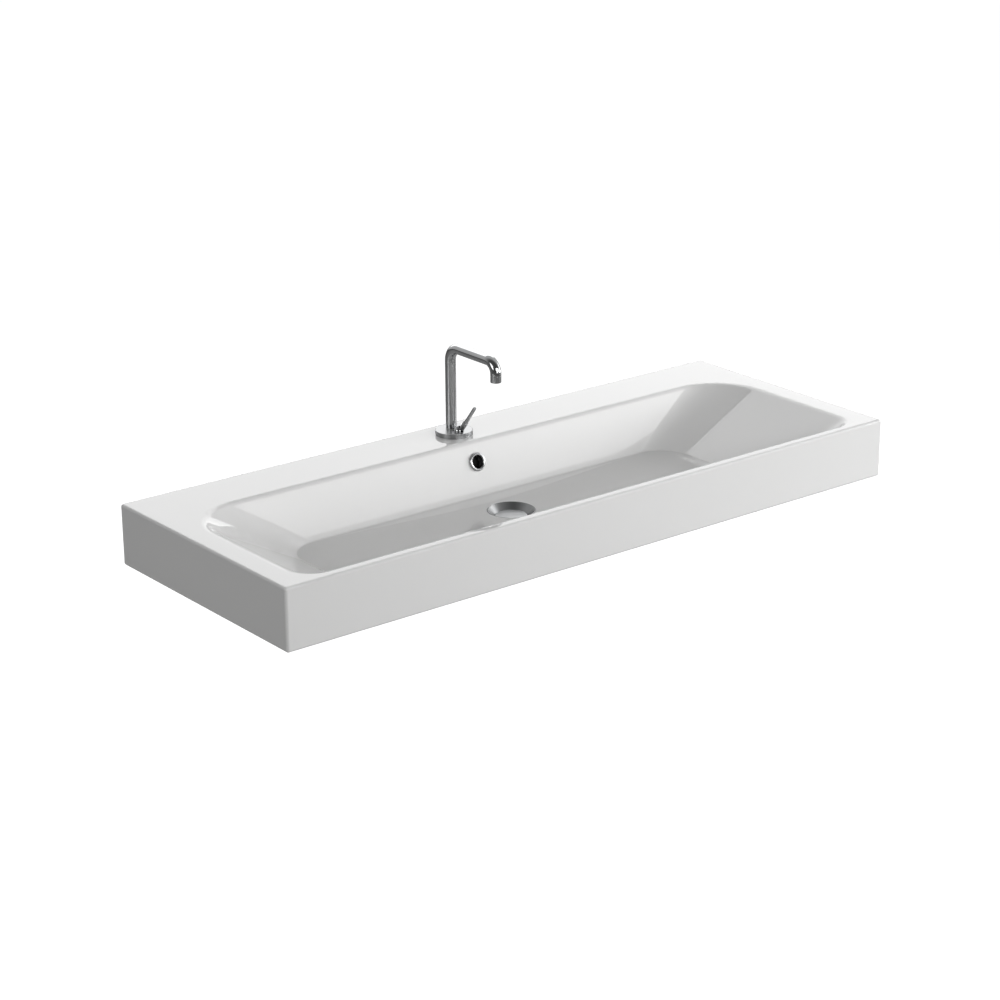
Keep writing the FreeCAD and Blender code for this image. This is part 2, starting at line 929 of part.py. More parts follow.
def tap_body():
    """The round base with the threaded shank below it, bored for the spout and the cartridge."""
    bevel = s.disc_thickness - s.disc_bevel
    disc = [
        (ZERO, ZERO),
        (s.disc_radius, ZERO),
        (s.disc_radius, bevel),
        (s.disc_radius - s.disc_bevel, s.disc_thickness),
        (ZERO, s.disc_thickness),
    ]
    disc = turned("base_blank", disc, y=disc_y, z=deck)
    recess = cylinder(
        "gasket_recess",
        s.gasket_radius + s.seat_gap,
        s.gasket_thickness + s.overrun,
        y=tap_y,
        z=deck - s.overrun,
    )
    base = cut("recessed_base", disc, [recess])
    shank_foot = deck - s.shank_length
    half_disc = s.disc_thickness / 2
    shank = cylinder(
        "shank", shank_radius, s.shank_length + half_disc, y=tap_y, z=shank_foot
    )
    whole = fuse("base_and_shank", [base, shank])
    socket = s.neck_radius + s.running_gap
    ledge = deck + s.turret_ledge
    channel_z = deck - s.channel_drop
    tools = [
        cylinder(
            "spout_socket",
            socket,
            s.disc_thickness,
            y=spout_y,
            z=deck + s.socket_floor,
        ),
        cylinder(
            "riser", s.channel_radius, s.disc_thickness + s.channel_drop, y=spout_y, z=channel_z
        ),
        cylinder(
            "cross_way",
            s.channel_radius,
            s.spout_offset + s.joystick_offset,
            y=spout_y,
            z=channel_z,
            turn=TOWARDS_USER,
        ),
        cylinder(
            "turret_seat",
            s.turret_radius + s.running_gap,
            s.disc_thickness,
            y=joystick_y,
            z=ledge,
        ),
        cylinder(
            "cartridge_pocket",
            s.cartridge_radius + s.running_gap,
            s.cartridge_depth + s.overrun,
            y=joystick_y,
            z=ledge - s.cartridge_depth,
        ),
        cylinder(
            "grub_hole",
            s.grub_radius + s.running_gap,
            disc_y + s.disc_radius + s.overrun - spout_y,
            y=disc_y + s.disc_radius + s.overrun,
            z=deck + s.lock_groove_rise,
            turn=TOWARDS_USER,
        ),
        ring(
            "snap_ring_seat",
            s.turret_radius + s.snap_ring_bite + s.snap_groove_gap,
            s.turret_radius,
            s.snap_ring_height + s.snap_groove_gap * 2,
            y=joystick_y,
            z=deck + s.snap_ring_rise - s.snap_groove_gap,
        ),
    ]
    inlet_length = s.inlet_depth + s.overrun
    port_length = s.shank_length - s.inlet_depth
    for side in (-1, 1):
        tools.append(
            cylinder(
                "inlet",
                s.inlet_radius,
                inlet_length,
                x=s.inlet_offset * side,
                y=tap_y - s.inlet_forward,
                z=shank_foot - s.overrun,
            )
        )
        tools.append(
            cylinder(
                "inlet_port",
                s.port_radius,
                port_length - s.cartridge_depth + s.turret_ledge + s.overrun * 2,
                x=s.port_offset * side,
                y=joystick_y + s.port_back,
                z=shank_foot + s.inlet_depth - s.overrun,
            )
        )
    return cut("tap_body", whole, tools)


def tap_clamp():
    """What holds the tap in the deck: base gasket above, rubber, steel and ring nut below."""
    hug = shank_radius + s.seat_gap
    reach = shank_radius + s.clamp_margin
    gasket = ring(
        "base_gasket", s.gasket_radius, hug, s.gasket_thickness, y=tap_y, z=deck
    )
    rubber_foot = deck_foot - s.clamp_gasket
    rubber = ring("clamp_gasket", reach, hug, s.clamp_gasket, y=tap_y, z=rubber_foot)
    steel_foot = rubber_foot - s.clamp_washer
    steel = ring("clamp_washer", reach, hug, s.clamp_washer, y=tap_y, z=steel_foot)
    nut_foot = steel_foot - s.ring_nut_height
    thread = shank_radius + s.running_gap
    blank = ring("nut_blank", reach, thread, s.ring_nut_height, y=tap_y, z=nut_foot)
    slot_reach = reach + s.overrun
    floor = reach - s.nut_slot_depth
    slots = []
    for side in (-1, 1):
        start = floor if side > 0 else -slot_reach
        slots.append(
            box(
                "nut_slot_side",
                slot_reach - floor,
                s.nut_slot_width,
                s.ring_nut_height,
                start,
                tap_y - s.nut_slot_width / 2,
                nut_foot,
            )
        )
        slots.append(
            box(
                "nut_slot_end",
                s.nut_slot_width,
                slot_reach - floor,
                s.ring_nut_height,
                -s.nut_slot_width / 2,
                tap_y + start,
                nut_foot,
            )
        )
    return [gasket, rubber, steel, cut("ring_nut", blank, slots)]


spout_foot = disc_top + s.spout_washer
arm_height = deck + s.spout_rise
mouth_y = spout_y - s.spout_reach
mouth_height = arm_height - s.mouth_drop


def pipe(name, radius, line):
    circle = doc.addObject("Part::Circle", name + "_section")
    circle.setExpression("Radius", radius.text)
    place(circle, y=spout_y, z=spout_foot)
    solid = doc.addObject("Part::Sweep", name)
    solid.Sections = [circle]
    solid.Spine = (line, [f"Edge{i}" for i in range(1, 6)])
    solid.Solid = True
    return solid


def spout_pieces():
    line = free_outline(
        "spout_line",
        [
            (spout_y, spout_foot),
            (spout_y, arm_height, s.rear_bend),
            (mouth_y, arm_height, s.front_bend),
            (mouth_y, mouth_height),
        ],
        turn=SIDE_VIEW,
        closed=False,
    )
    shoulder = s.neck_shoulder + s.running_gap
    bores = [
        pipe("spout_bore", s.spout_bore, line),
        cylinder(
            "neck_counterbore",
            shoulder,
            s.neck_insert + s.overrun,
            y=spout_y,
            z=spout_foot - s.overrun,
        ),
        cylinder(
            "mouth_counterbore",
            shoulder,
            s.aerator_spigot + s.aerator_seal + s.overrun,
            y=mouth_y,
            z=mouth_height - s.overrun,
        ),
    ]
    spout = cut("spout", pipe("spout_blank", s.spout_radius, line), bores)
    washer = ring(
        "spout_washer",
        s.spout_radius,
        s.neck_radius + s.running_gap * 2,
        s.spout_washer,
        y=spout_y,
        z=disc_top,
    )
    base = s.socket_floor + s.running_gap * 2
    top = s.disc_thickness + s.spout_washer
    lock_half = s.grub_radius + s.lock_groove_gap
    neck = [
        (s.neck_bore, base),
        (s.neck_radius, base),
        (s.neck_radius, s.seal_groove_low),
        (s.seal_groove_radius, s.seal_groove_low),
        (s.seal_groove_radius, s.seal_groove_high),
        (s.neck_radius, s.seal_groove_high),
        (s.neck_radius, s.lock_groove_rise - lock_half),
        (s.lock_groove_radius, s.lock_groove_rise - lock_half),
        (s.lock_groove_radius, s.lock_groove_rise + lock_half),
        (s.neck_radius, s.lock_groove_rise + lock_half),
        (s.neck_radius, top),
        (s.neck_shoulder, top),
        (s.neck_shoulder, top + s.neck_insert),
        (s.neck_bore, top + s.neck_insert),
    ]
    neck = turned("spout_neck", neck, y=spout_y, z=deck)
    cord = (s.neck_radius - s.seal_groove_radius) / 2
    o_ring = doc.addObject("Part::Torus", "spout_o_ring")
    o_ring.setExpression("Radius1", (s.seal_groove_radius + cord + s.running_gap / 2).text)
    o_ring.setExpression("Radius2", cord.text)
    groove = (s.seal_groove_low + s.seal_groove_high) / 2
    place(o_ring, y=spout_y, z=deck + groove)
    return [spout, washer, neck, o_ring]


def grub_screw():
    start = spout_y + s.lock_groove_radius + s.seat_gap + s.grub_length
    height = deck + s.lock_groove_rise
    blank = cylinder(
        "grub_blank", s.grub_radius, s.grub_length, y=start, z=height, turn=TOWARDS_USER
    )
    socket = doc.addObject("Part::Prism", "grub_socket")
    socket.Polygon = 6
    socket.setExpression("Circumradius", s.grub_socket.text)
    socket.setExpression("Height", (s.grub_socket_depth + s.overrun).text)
    place(socket, y=start + s.overrun, z=height, turn=TOWARDS_USER)
    return cut("spout_grub_screw", blank, [socket])


def aerator_pieces():
    spigot = s.aerator_spigot
    bevel = s.aerator_bevel - s.aerator_length
    housing = [
        (s.aerator_lip_bore, -s.aerator_length),
        (s.spout_radius - s.aerator_bevel, -s.aerator_length),
        (s.spout_radius, bevel),
        (s.spout_radius, ZERO),
        (s.neck_shoulder, ZERO),
        (s.neck_shoulder, spigot),
        (s.aerator_bore, spigot),
        (s.aerator_bore, s.aerator_lip - s.aerator_length),
        (s.aerator_lip_bore, s.aerator_lip - s.aerator_length),
    ]
    housing = turned("aerator_housing", housing, y=mouth_y, z=mouth_height)
    seal = ring(
        "aerator_seal",
        s.neck_shoulder,
        s.spout_bore,
        s.aerator_seal,
        y=mouth_y,
        z=mouth_height + spigot,
    )
    foot = mouth_height - s.aerator_length + s.aerator_lip
    blank = cylinder(
        "insert_blank", s.aerator_bore - s.running_gap, s.insert_length, y=mouth_y, z=foot
    )
    holes = []
    for count, radius in ((4, s.insert_inner_ring), (10, s.insert_outer_ring)):
        for number in range(count):
            angle = 2 * math.pi * number / count
            holes.append(
                cylinder(
                    "insert_hole",
                    s.insert_hole,
                    s.insert_length + s.overrun * 2,
                    x=radius * round(math.cos(angle), 6),
                    y=mouth_y + radius * round(math.sin(angle), 6),
                    z=foot - s.overrun,
                )
            )
    return [housing, seal, cut("aerator_insert", blank, holes)]


# The joystick and its cartridge

pivot_z = deck + s.pivot_rise
LEVER_LEAN = f"{s.lever_lean.text} * 1 deg"
LIFTED_LEAN = f"{(s.lever_lean - s.lever_lift).text} * 1 deg"
TAIL_POCKET_SHARE = 1.7  # half the pocket's length, for a leaning tail, over the tail's radius


def pivot_hole(name, half_length, radius):
    return cylinder(
        name, radius, half_length * 2, x=-half_length, y=joystick_y, z=pivot_z, turn=ALONG_X
    )


def joystick_turret():
    foot = deck + s.turret_ledge + s.running_gap * 2
    skirt = cylinder("turret_skirt", s.turret_radius, disc_top - foot, y=joystick_y, z=foot)
    dome = doc.addObject("Part::Sphere", "turret_dome")
    dome.setExpression("Radius", s.turret_radius.text)
    dome.Angle1 = 0
    place(dome, y=joystick_y, z=disc_top)
    whole = fuse("turret_blank", [skirt, dome])
    ahead = joystick_y - s.turret_radius - s.overrun
    back = joystick_y + s.slot_back
    over = disc_top + s.turret_radius + s.overrun
    slot = slab(
        "lever_slot",
        [
            (back, deck),
            (back, deck + s.slot_shoulder),
            (joystick_y - s.slot_top_back, over),
            (ahead, over),
            (ahead, deck),
        ],
        s.slot_half,
    )
    hole = pivot_hole("turret_pin_hole", s.turret_radius + s.overrun, s.pin_radius)
    groove = ring(
        "snap_ring_groove",
        s.turret_radius + s.overrun,
        s.turret_radius - s.snap_ring_bite - s.snap_groove_gap,
        s.snap_ring_height + s.snap_groove_gap * 2,
        y=joystick_y,
        z=deck + s.snap_ring_rise - s.snap_groove_gap,
    )
    return cut("joystick_turret", whole, [slot, hole, groove])


def snap_ring():
    """Holds the turret down; half of it lies in the turret and half in the base."""
    return ring(
        "turret_snap_ring",
        s.turret_radius + s.snap_ring_bite,
        s.turret_radius - s.snap_ring_bite,
        s.snap_ring_height,
        y=joystick_y,
        z=deck + s.snap_ring_rise,
    )


def lever_pieces():
    """The stem on its pin with the tail below, the rod screwed onto it, and the sleeve."""
    neck, rod = s.lever_neck_radius, s.lever_rod_radius
    profile = [
        (ZERO, -s.lever_tail),
        (s.lever_tail_radius, -s.lever_tail),
        (s.lever_tail_radius, s.lever_tail_radius - neck - s.lever_waist),
        (neck, -s.lever_waist),
        (neck, s.stem_end),
        (ZERO, s.stem_end),
    ]
    blank = turned("stem_blank", profile, y=joystick_y, z=pivot_z)
    lean(blank, LEVER_LEAN)
    hole = pivot_hole(
        "lever_pin_hole", s.lever_neck_radius + s.overrun, s.pin_radius + s.running_gap
    )
    stem = cut("joystick_stem", blank, [hole])
    profile = [
        (ZERO, s.stem_end),
        (neck, s.stem_end),
        (neck, s.sleeve_end),
        (rod, s.sleeve_end),
        (rod, s.lever_length - s.lever_tip_bevel),
        (rod - s.lever_tip_bevel, s.lever_length),
        (ZERO, s.lever_length),
    ]
    lever = turned("joystick_lever", profile, y=joystick_y, z=pivot_z)
    lean(lever, LEVER_LEAN)
    bore = neck + s.running_gap
    profile = [
        (bore, s.sleeve_start),
        (s.sleeve_radius - s.sleeve_bevel, s.sleeve_start),
        (s.sleeve_radius, s.sleeve_start + s.sleeve_bevel),
        (s.sleeve_radius, s.sleeve_end - s.sleeve_bevel),
        (s.sleeve_radius - s.sleeve_bevel, s.sleeve_end),
        (bore, s.sleeve_end),
    ]
    sleeve = turned("joystick_sleeve", profile, y=joystick_y, z=pivot_z)
    lean(sleeve, LEVER_LEAN)
    pin = pivot_hole("joystick_pin", s.pin_half_length, s.pin_radius - s.running_gap)
    return [stem, lever, sleeve, pin]


def ports(name, height, z):
    """The two ways that hot and cold water take up through the stack."""
    return [
        cylinder(
            name,
            s.port_radius,
            height + s.overrun * 2,
            x=s.port_offset * side,
            y=joystick_y + s.port_back,
            z=z - s.overrun,
        )
        for side in (-1, 1)
    ]


def cartridge_pieces():
    """A cup with a fixed ceramic disc, and a sliding one under the carrier that the lever moves."""
    pocket_floor = deck + s.turret_ledge - s.cartridge_depth
    gasket = cut(
        "cartridge_gasket",
        cylinder(
            "cartridge_gasket_blank",
            s.cartridge_radius,
            s.cartridge_gasket,
            y=joystick_y,
            z=pocket_floor,
        ),
        ports("gasket_port", s.cartridge_gasket, pocket_floor),
    )
    housing_foot = pocket_floor + s.cartridge_gasket
    height = s.cartridge_depth - s.cartridge_gasket
    cup = [
        (ZERO, ZERO),
        (s.cartridge_radius, ZERO),
        (s.cartridge_radius, height),
        (s.cartridge_bore, height),
        (s.cartridge_bore, s.cartridge_floor),
        (ZERO, s.cartridge_floor),
    ]
    cup = turned("cartridge_cup", cup, y=joystick_y, z=housing_foot)
    outlet = cylinder(
        "cartridge_outlet",
        s.outlet_radius,
        s.cartridge_radius + s.overrun,
        y=joystick_y + s.cartridge_radius + s.overrun,
        z=deck - s.channel_drop,
        turn=TOWARDS_USER,
    )
    holes = ports("housing_port", s.cartridge_floor, housing_foot)
    housing = cut("cartridge_housing", cup, holes + [outlet])
    fixed_foot = housing_foot + s.cartridge_floor
    fixed = cut(
        "fixed_ceramic_disc",
        cylinder(
            "fixed_blank",
            s.cartridge_bore - s.running_gap,
            s.ceramic_disc,
            y=joystick_y,
            z=fixed_foot,
        ),
        ports("fixed_port", s.ceramic_disc, fixed_foot),
    )
    return [gasket, housing, fixed] + sliding_pieces(fixed_foot + s.ceramic_disc)


def sliding_pieces(foot):
    """The sliding disc and its carrier stand off the axis by half of what the lever moves them."""
    tail = swung(s.lever_tail, LEVER_LEAN, s.lever_lean.value)
    lifted = swung(s.lever_tail, LIFTED_LEAN, s.lever_lean.value - s.lever_lift.value)
    middle = joystick_y + (tail - lifted) / 2
    slider_foot = foot + s.running_gap
    slider = cylinder(
        "sliding_ceramic_disc", s.carrier_radius, s.ceramic_disc, y=middle, z=slider_foot
    )
    carrier_foot = slider_foot + s.ceramic_disc
    carrier_height = deck + s.turret_ledge - s.carrier_gap - carrier_foot
    blank = cylinder(
        "carrier_blank", s.carrier_radius, carrier_height, y=middle, z=carrier_foot
    )
    half_length = s.lever_tail_radius * TAIL_POCKET_SHARE
    half_pocket = s.lever_tail_radius + s.seat_gap
    pocket_foot = pivot_z - s.lever_tail - s.seat_gap
    pocket = box(
        "tail_pocket",
        half_pocket * 2,
        half_length * 2,
        s.lever_tail + s.seat_gap,
        -half_pocket,
        joystick_y + tail - s.lever_tail_radius / 2 - half_length,
        pocket_foot,
    )
    return [slider, cut("disc_carrier", blank, [pocket])]


nodes = [casting(), waste_flange(), waste_backnut(), tap_body(), grub_screw()]
nodes += overflow_pieces()
nodes += waste_seals()
nodes += plug_pieces()
nodes += tap_clamp()
nodes += spout_pieces()
nodes += aerator_pieces()
nodes += [joystick_turret(), snap_ring()]
nodes += lever_pieces()
nodes += cartridge_pieces()
doc.recompute()

for thing in doc.Objects:
    if "Invalid" in thing.State or "Error" in thing.State:
        raise RuntimeError(f"{thing.Name} did not build: {thing.State}")
for node in nodes:
    shape = node.Shape
    if shape.isNull() or not shape.isValid() or not shape.Solids:
        raise RuntimeError(f"{node.Name} is not a valid solid")
    node.Label = node.Name
    shape.exportStep(f"parts/{node.Label}.step")
    print(f"{node.Label}: {len(shape.Solids)} solid, {shape.Volume:.1f} mm3")
print(f"{len(nodes)} nodes")
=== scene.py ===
import bmesh
import bpy
import json
import math
import numpy as np
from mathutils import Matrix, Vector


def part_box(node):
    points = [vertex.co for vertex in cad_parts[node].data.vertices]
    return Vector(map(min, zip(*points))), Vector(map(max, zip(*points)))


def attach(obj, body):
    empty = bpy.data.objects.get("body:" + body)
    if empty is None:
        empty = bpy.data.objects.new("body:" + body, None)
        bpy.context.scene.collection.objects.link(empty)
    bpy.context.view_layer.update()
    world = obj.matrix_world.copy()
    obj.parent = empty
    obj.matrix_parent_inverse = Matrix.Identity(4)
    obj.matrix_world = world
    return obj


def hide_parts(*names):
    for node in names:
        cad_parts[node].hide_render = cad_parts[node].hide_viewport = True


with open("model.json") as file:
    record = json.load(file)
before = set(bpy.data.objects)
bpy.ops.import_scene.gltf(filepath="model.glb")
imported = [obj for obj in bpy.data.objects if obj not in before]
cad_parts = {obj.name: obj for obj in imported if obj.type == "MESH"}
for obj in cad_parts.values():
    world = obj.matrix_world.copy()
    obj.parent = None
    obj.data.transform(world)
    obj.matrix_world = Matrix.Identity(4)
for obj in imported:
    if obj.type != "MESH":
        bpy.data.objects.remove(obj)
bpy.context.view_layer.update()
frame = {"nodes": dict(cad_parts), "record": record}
print("frame loaded:", len(frame["nodes"]), "nodes")

mm = 0.001
scene = bpy.context.scene
straightBelow = 1e-9  # radians: a corner that turns less is no corner
mergeWithin, flatWithin = 1e-7, 1e-8  # metres: nearer vertices are one, and flatter faces are dropped
offAxis = (0.3, 0.5, 0.81)  # a direction that no rod runs along
sharpAngle = math.radians(32)
faceAreaWeight = 60  # how far the larger faces decide the shading normals
softEdge, fineEdge = 0.3 * mm, 0.2 * mm  # roundings of plain metal edges
cutPast = 1 * mm  # how far a cutter reaches past what it cuts


# Outlines and grids

# Corners are (across, up, radius). A corner with a radius becomes an arc that touches both of its lines:
# the arc starts radius / tan(half the corner's angle) before the corner and turns evenly to the next line.
# Gives the points and the unit heading at each point.
def softPath(corners, closed=True, steps=8):
    places, radii = np.array([corner[:2] for corner in corners], float), [corner[2] for corner in corners]
    points, headings = [], []
    for index, (here, radius) in enumerate(zip(places, radii)):
        arrive = here - places[index - 1]
        leave = places[(index + 1) % len(places)] - here
        if not closed and index == 0:
            arrive = leave
        if not closed and index == len(places) - 1:
            leave = arrive
        arrive, leave = arrive / np.linalg.norm(arrive), leave / np.linalg.norm(leave)
        turn = math.atan2(arrive[0] * leave[1] - arrive[1] * leave[0], arrive @ leave)
        if radius == 0 or abs(turn) < straightBelow:
            points.append(here[None])
            headings.append((arrive + leave)[None] / 2)
            continue
        side = math.copysign(1, turn)
        normal = side * np.array([-arrive[1], arrive[0]])
        centre = here - arrive * radius * math.tan(abs(turn) / 2) + normal * radius
        angles = np.linspace(0, abs(turn), steps + 1)[:, None]
        headings.append(arrive * np.cos(angles) + normal * np.sin(angles))
        points.append(centre - normal * radius * np.cos(angles) + arrive * radius * np.sin(angles))
    return np.vstack(points), np.vstack(headings)


# Quads between each row of points and the next; a row closes on itself, and the rows may too
def gridQuads(rows, columns, closeRows):
    index = np.arange(rows * columns).reshape(rows, columns)
    if closeRows:
        index = np.vstack([index, index[:1]])
    across = np.roll(index, -1, axis=1)
    quads = np.stack([index[:-1], across[:-1], across[1:], index[1:]], axis=-1)
    return quads.reshape(-1, 4)


# Six times the signed volume under the quads tells whether they face outwards
def facesOutwards(points, quads):
    a, b, c, d = (points[quads[:, corner]] for corner in range(4))
    volume = (np.cross(b - a, c - a) * a).sum() + (np.cross(c - a, d - a) * a).sum()
    return volume > 0


# A mesh from rows of points. The last row joins the first, or each of the two gets a flat cap.
# Doubled points at poles are merged, and the faces turned outwards.
def gridMesh(name, grid, capped=False):
    rows, columns = grid.shape[:2]
    points = grid.reshape(-1, 3)
    quads = gridQuads(rows, columns, closeRows=not capped)
    caps = [np.arange(columns)[::-1], np.arange(columns) + (rows - 1) * columns] if capped else []
    if not facesOutwards(points - points.mean(axis=0), quads):
        quads = quads[:, ::-1]
        caps = [cap[::-1] for cap in caps]
    mesh = bpy.data.meshes.new(name)
    mesh.from_pydata(points.tolist(), [], quads.tolist() + [cap.tolist() for cap in caps])
    cleaner = bmesh.new()
    cleaner.from_mesh(mesh)
    bmesh.ops.remove_doubles(cleaner, verts=cleaner.verts, dist=mergeWithin)
    bmesh.ops.dissolve_degenerate(cleaner, edges=cleaner.edges, dist=flatWithin)
    cleaner.to_mesh(mesh)
    cleaner.free()
    piece = bpy.data.objects.new(name, mesh)
    scene.collection.objects.link(piece)
    return piece


# Circles carried along a line: centre + radius * (side * cos + rise * sin), one circle for each centre.
# Side and rise have a row for each centre, or one for all
def circles(centres, radii, side, rise, count):
    angles = np.linspace(0, 2 * math.pi, count, endpoint=False)
    cosines, sines = np.cos(angles)[None, :, None], np.sin(angles)[None, :, None]
    around = side[:, None, :] * cosines + rise[:, None, :] * sines
    return centres[:, None, :] + radii[:, None, None] * around


# A profile of (radius, height, rounding) turned about an axis from a foot point, leaning towards -Y
def turnedPiece(name, profile, foot, lean=0.0, sides=96, steps=6):
    points, _ = softPath(profile, steps=steps)
    axis = np.array([0, -math.sin(lean), math.cos(lean)])
    rise = np.array([[0, math.cos(lean), math.sin(lean)]])
    side = np.array([[1.0, 0, 0]])
    centres = np.array(foot) + points[:, 1:] * axis
    return gridMesh(name, circles(centres, points[:, 0], side, rise, sides))


# A flat outline of (y, z, rounding) thickened along X by half its width to both sides
def slab(name, outline, halfWidth):
    points, _ = softPath(outline)
    ends = [np.column_stack([np.full(len(points), x), points]) for x in (-halfWidth, halfWidth)]
    return gridMesh(name, np.array(ends), capped=True)


def rod(name, radius, start, end, sides=64):
    start, end = np.array(start, float), np.array(end, float)
    axis = (end - start) / np.linalg.norm(end - start)
    side = np.cross(axis, offAxis)
    side /= np.linalg.norm(side)
    rise = np.cross(axis, side)
    grid = circles(np.array([start, end]), np.array([radius, radius]), side[None], rise[None], sides)
    return gridMesh(name, grid, capped=True)


# An upright rod
def post(name, radius, y, start, end, x=0):
    return rod(name, radius, (x, y, start), (x, y, end))


# Adds or cuts other solids; they are used up
def combine(piece, solids, operation):
    for solid in solids:
        change = piece.modifiers.new(solid.name, "BOOLEAN")
        change.operation = operation
        change.solver = "EXACT"
        change.object = solid
    bpy.context.view_layer.update()
    evaluated = piece.evaluated_get(bpy.context.evaluated_depsgraph_get())
    mesh = bpy.data.meshes.new_from_object(evaluated)
    piece.modifiers.clear()
    piece.data = mesh
    for solid in solids:
        bpy.data.objects.remove(solid)


# Shades a piece, ties it to its body and hides the CAD node that it stands for. Its finish is the slot's,
# or the one given
def finishPiece(piece, body, node, slot, finish=None):
    piece.data.materials.clear()
    piece.data.materials.append(finishes[finish or slot])
    piece.data.shade_smooth()
    piece.data.set_sharp_from_angle(angle=sharpAngle)
    weighted = piece.modifiers.new("even_normals", "WEIGHTED_NORMAL")
    weighted.keep_sharp = True
    weighted.weight = faceAreaWeight
    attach(piece, body)
    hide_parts(node)


# Sizes of the glazed casting, in metres

basinLow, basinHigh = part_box("basin_body")
basin = {
    "halfWidth": basinHigh.x,
    "depth": -basinLow.y,
    "deckHeight": basinHigh.z,
    "footHeight": -40 * mm,
    "bossFoot": basinLow.z,
    "arris": 4.5 * mm,
    "deckThickness": 16 * mm,
    "apron": 12 * mm,
    "apronMargin": 4 * mm,
    "insideRound": 2 * mm,
    "shell": 6 * mm,
    "rim": dict(half=556.5 * mm, front=-430 * mm, back=-103 * mm, frontRound=42 * mm, rearRound=95 * mm),
    "floor": dict(half=397 * mm, front=-410 * mm, back=-133 * mm, frontRound=40 * mm, rearRound=60 * mm),
    "floorHeight": -26 * mm,
    "panHeight": -31 * mm,
    "panHalf": 48 * mm,
    "panRound": 42 * mm,
    "lipSetback": 6.4 * mm,
    "floorRadius": 3.5 * mm,
    "wasteY": -205 * mm,
    "recessRadius": 39.8 * mm,
    "recessEdge": 0.6 * mm,
    "recessMargin": 2 * mm,
    "recessSteps": [  # radius and height
        (39.8 * mm, -32.8 * mm),
        (29 * mm, -46.8 * mm),
        (29 * mm, -48 * mm),
        (23 * mm, -48 * mm),
    ],
    "bossRadius": 48.5 * mm,
    "bossEdge": 3 * mm,
    "cornerSteps": 24,
    "longSteps": 16,
    "shortSteps": 8,
    "edgeRows": 6,
    "lipRows": 10,
    "wallRows": 10,
    "hollowRows": 12,
    "floorRows": 15,
}
bowlDepth = basin["deckHeight"] - basin["floorHeight"]
backRun = basin["rim"]["back"] - basin["floor"]["back"]
# The overflow's duct behind the bowl, and the holes in the deck and the back
duct = {
    "width": 36 * mm,
    "wall": 5 * mm,
    "cover": 7 * mm,
    "gap": 8 * mm,
    "head": 21.5 * mm,
    "height": 10 * mm,
    "overlap": 2 * mm,
    "bossOverlap": 1 * mm,
    "casingRound": 3 * mm,
    "passageRound": 2 * mm,
    "overflowDrop": 33.5 * mm,
    "overflowRadius": 13 * mm,
    "tapHole": 17.5 * mm,
    "tapY": -59.5 * mm,
    "tapHoleFoot": 30 * mm,
    "boltHole": 7 * mm,
    "boltDepth": 20 * mm,
    "boltSpacings": (280 * mm, 880 * mm),
}


# Where the bowl's back wall stands at a depth below the deck
def wallY(depth):
    return basin["rim"]["back"] - backRun * depth / bowlDepth


wallLean = math.atan2(bowlDepth, backRun)
wallNormal = np.array([0, -math.sin(wallLean), math.cos(wallLean)])
overflowCentre = np.array([0, wallY(duct["overflowDrop"]), basin["deckHeight"] - duct["overflowDrop"]])

# The way down the duct, for its shade: y - lean * z is the same all along its middle, and the box round it
# is a little larger than the way, so that the way's own walls are in it
backLean = backRun / bowlDepth
overflowWay = {
    "lean": backLean,
    "middle": basin["rim"]["back"] - backLean * basin["deckHeight"] + duct["cover"] + duct["gap"] / 2,
    "halfDepth": duct["gap"] / 2 + 0.7 * mm,
    "halfWidth": duct["width"] / 2 + 0.3 * mm,
    "top": basin["deckHeight"] - duct["head"] + 1 * mm,
    "shade": 0.03,
}


# Finishes

# A math node and its result. Each value is a number or the output of another node
def mathNode(tree, operation, *values):
    node = tree.nodes.new("ShaderNodeMath")
    node.operation = operation
    for socket, value in zip(node.inputs, values):
        if isinstance(value, (int, float)):
            socket.default_value = value
        else:
            tree.links.new(value, socket)
    return node.outputs[0]


# The numbers that a finish gives to its changes, by socket
variationValues = {
    "Patch Size": "patchSize",
    "Colour Spread": "colourSpread",
    "Roughness": "roughness",
    "Roughness Spread": "roughnessSpread",
    "Grain Size": "grainSize",
}


# Slow changes of colour and roughness over a surface, and a fine height for the bump
def variationGroup():
    group = bpy.data.node_groups.new("surfaceVariation", "ShaderNodeTree")
    face = group.interface
    face.new_socket("Colour", in_out="INPUT", socket_type="NodeSocketColor")
    for name in variationValues:
        face.new_socket(name, in_out="INPUT", socket_type="NodeSocketFloat")
    face.new_socket("Colour", in_out="OUTPUT", socket_type="NodeSocketColor")
    for name in ("Roughness", "Height"):
        face.new_socket(name, in_out="OUTPUT", socket_type="NodeSocketFloat")
    nodes, links = group.nodes, group.links
    given, result = nodes.new("NodeGroupInput"), nodes.new("NodeGroupOutput")
    place = nodes.new("ShaderNodeTexCoord")

    def noise(size, detail):
        texture = nodes.new("ShaderNodeTexNoise")
        texture.inputs["Detail"].default_value = detail
        links.new(place.outputs["Object"], texture.inputs["Vector"])
        links.new(mathNode(group, "DIVIDE", 1, given.outputs[size]), texture.inputs["Scale"])
        return texture.outputs["Fac"]

    # Noise runs from 0 to 1, so the result runs half the spread to both sides of the centre
    def around(value, centre, spread):
        return mathNode(group, "MULTIPLY_ADD", mathNode(group, "SUBTRACT", value, 0.5), spread, centre)

    patches, grain = noise("Patch Size", detail=3), noise("Grain Size", detail=2)
    tint = nodes.new("ShaderNodeVectorMath")
    tint.operation = "SCALE"
    links.new(given.outputs["Colour"], tint.inputs[0])
    links.new(around(patches, 1, given.outputs["Colour Spread"]), tint.inputs["Scale"])
    links.new(tint.outputs[0], result.inputs["Colour"])
    rough = around(patches, given.outputs["Roughness"], given.outputs["Roughness Spread"])
    links.new(rough, result.inputs["Roughness"])
    links.new(grain, result.inputs["Height"])
    return group


surfaceVariation = variationGroup()


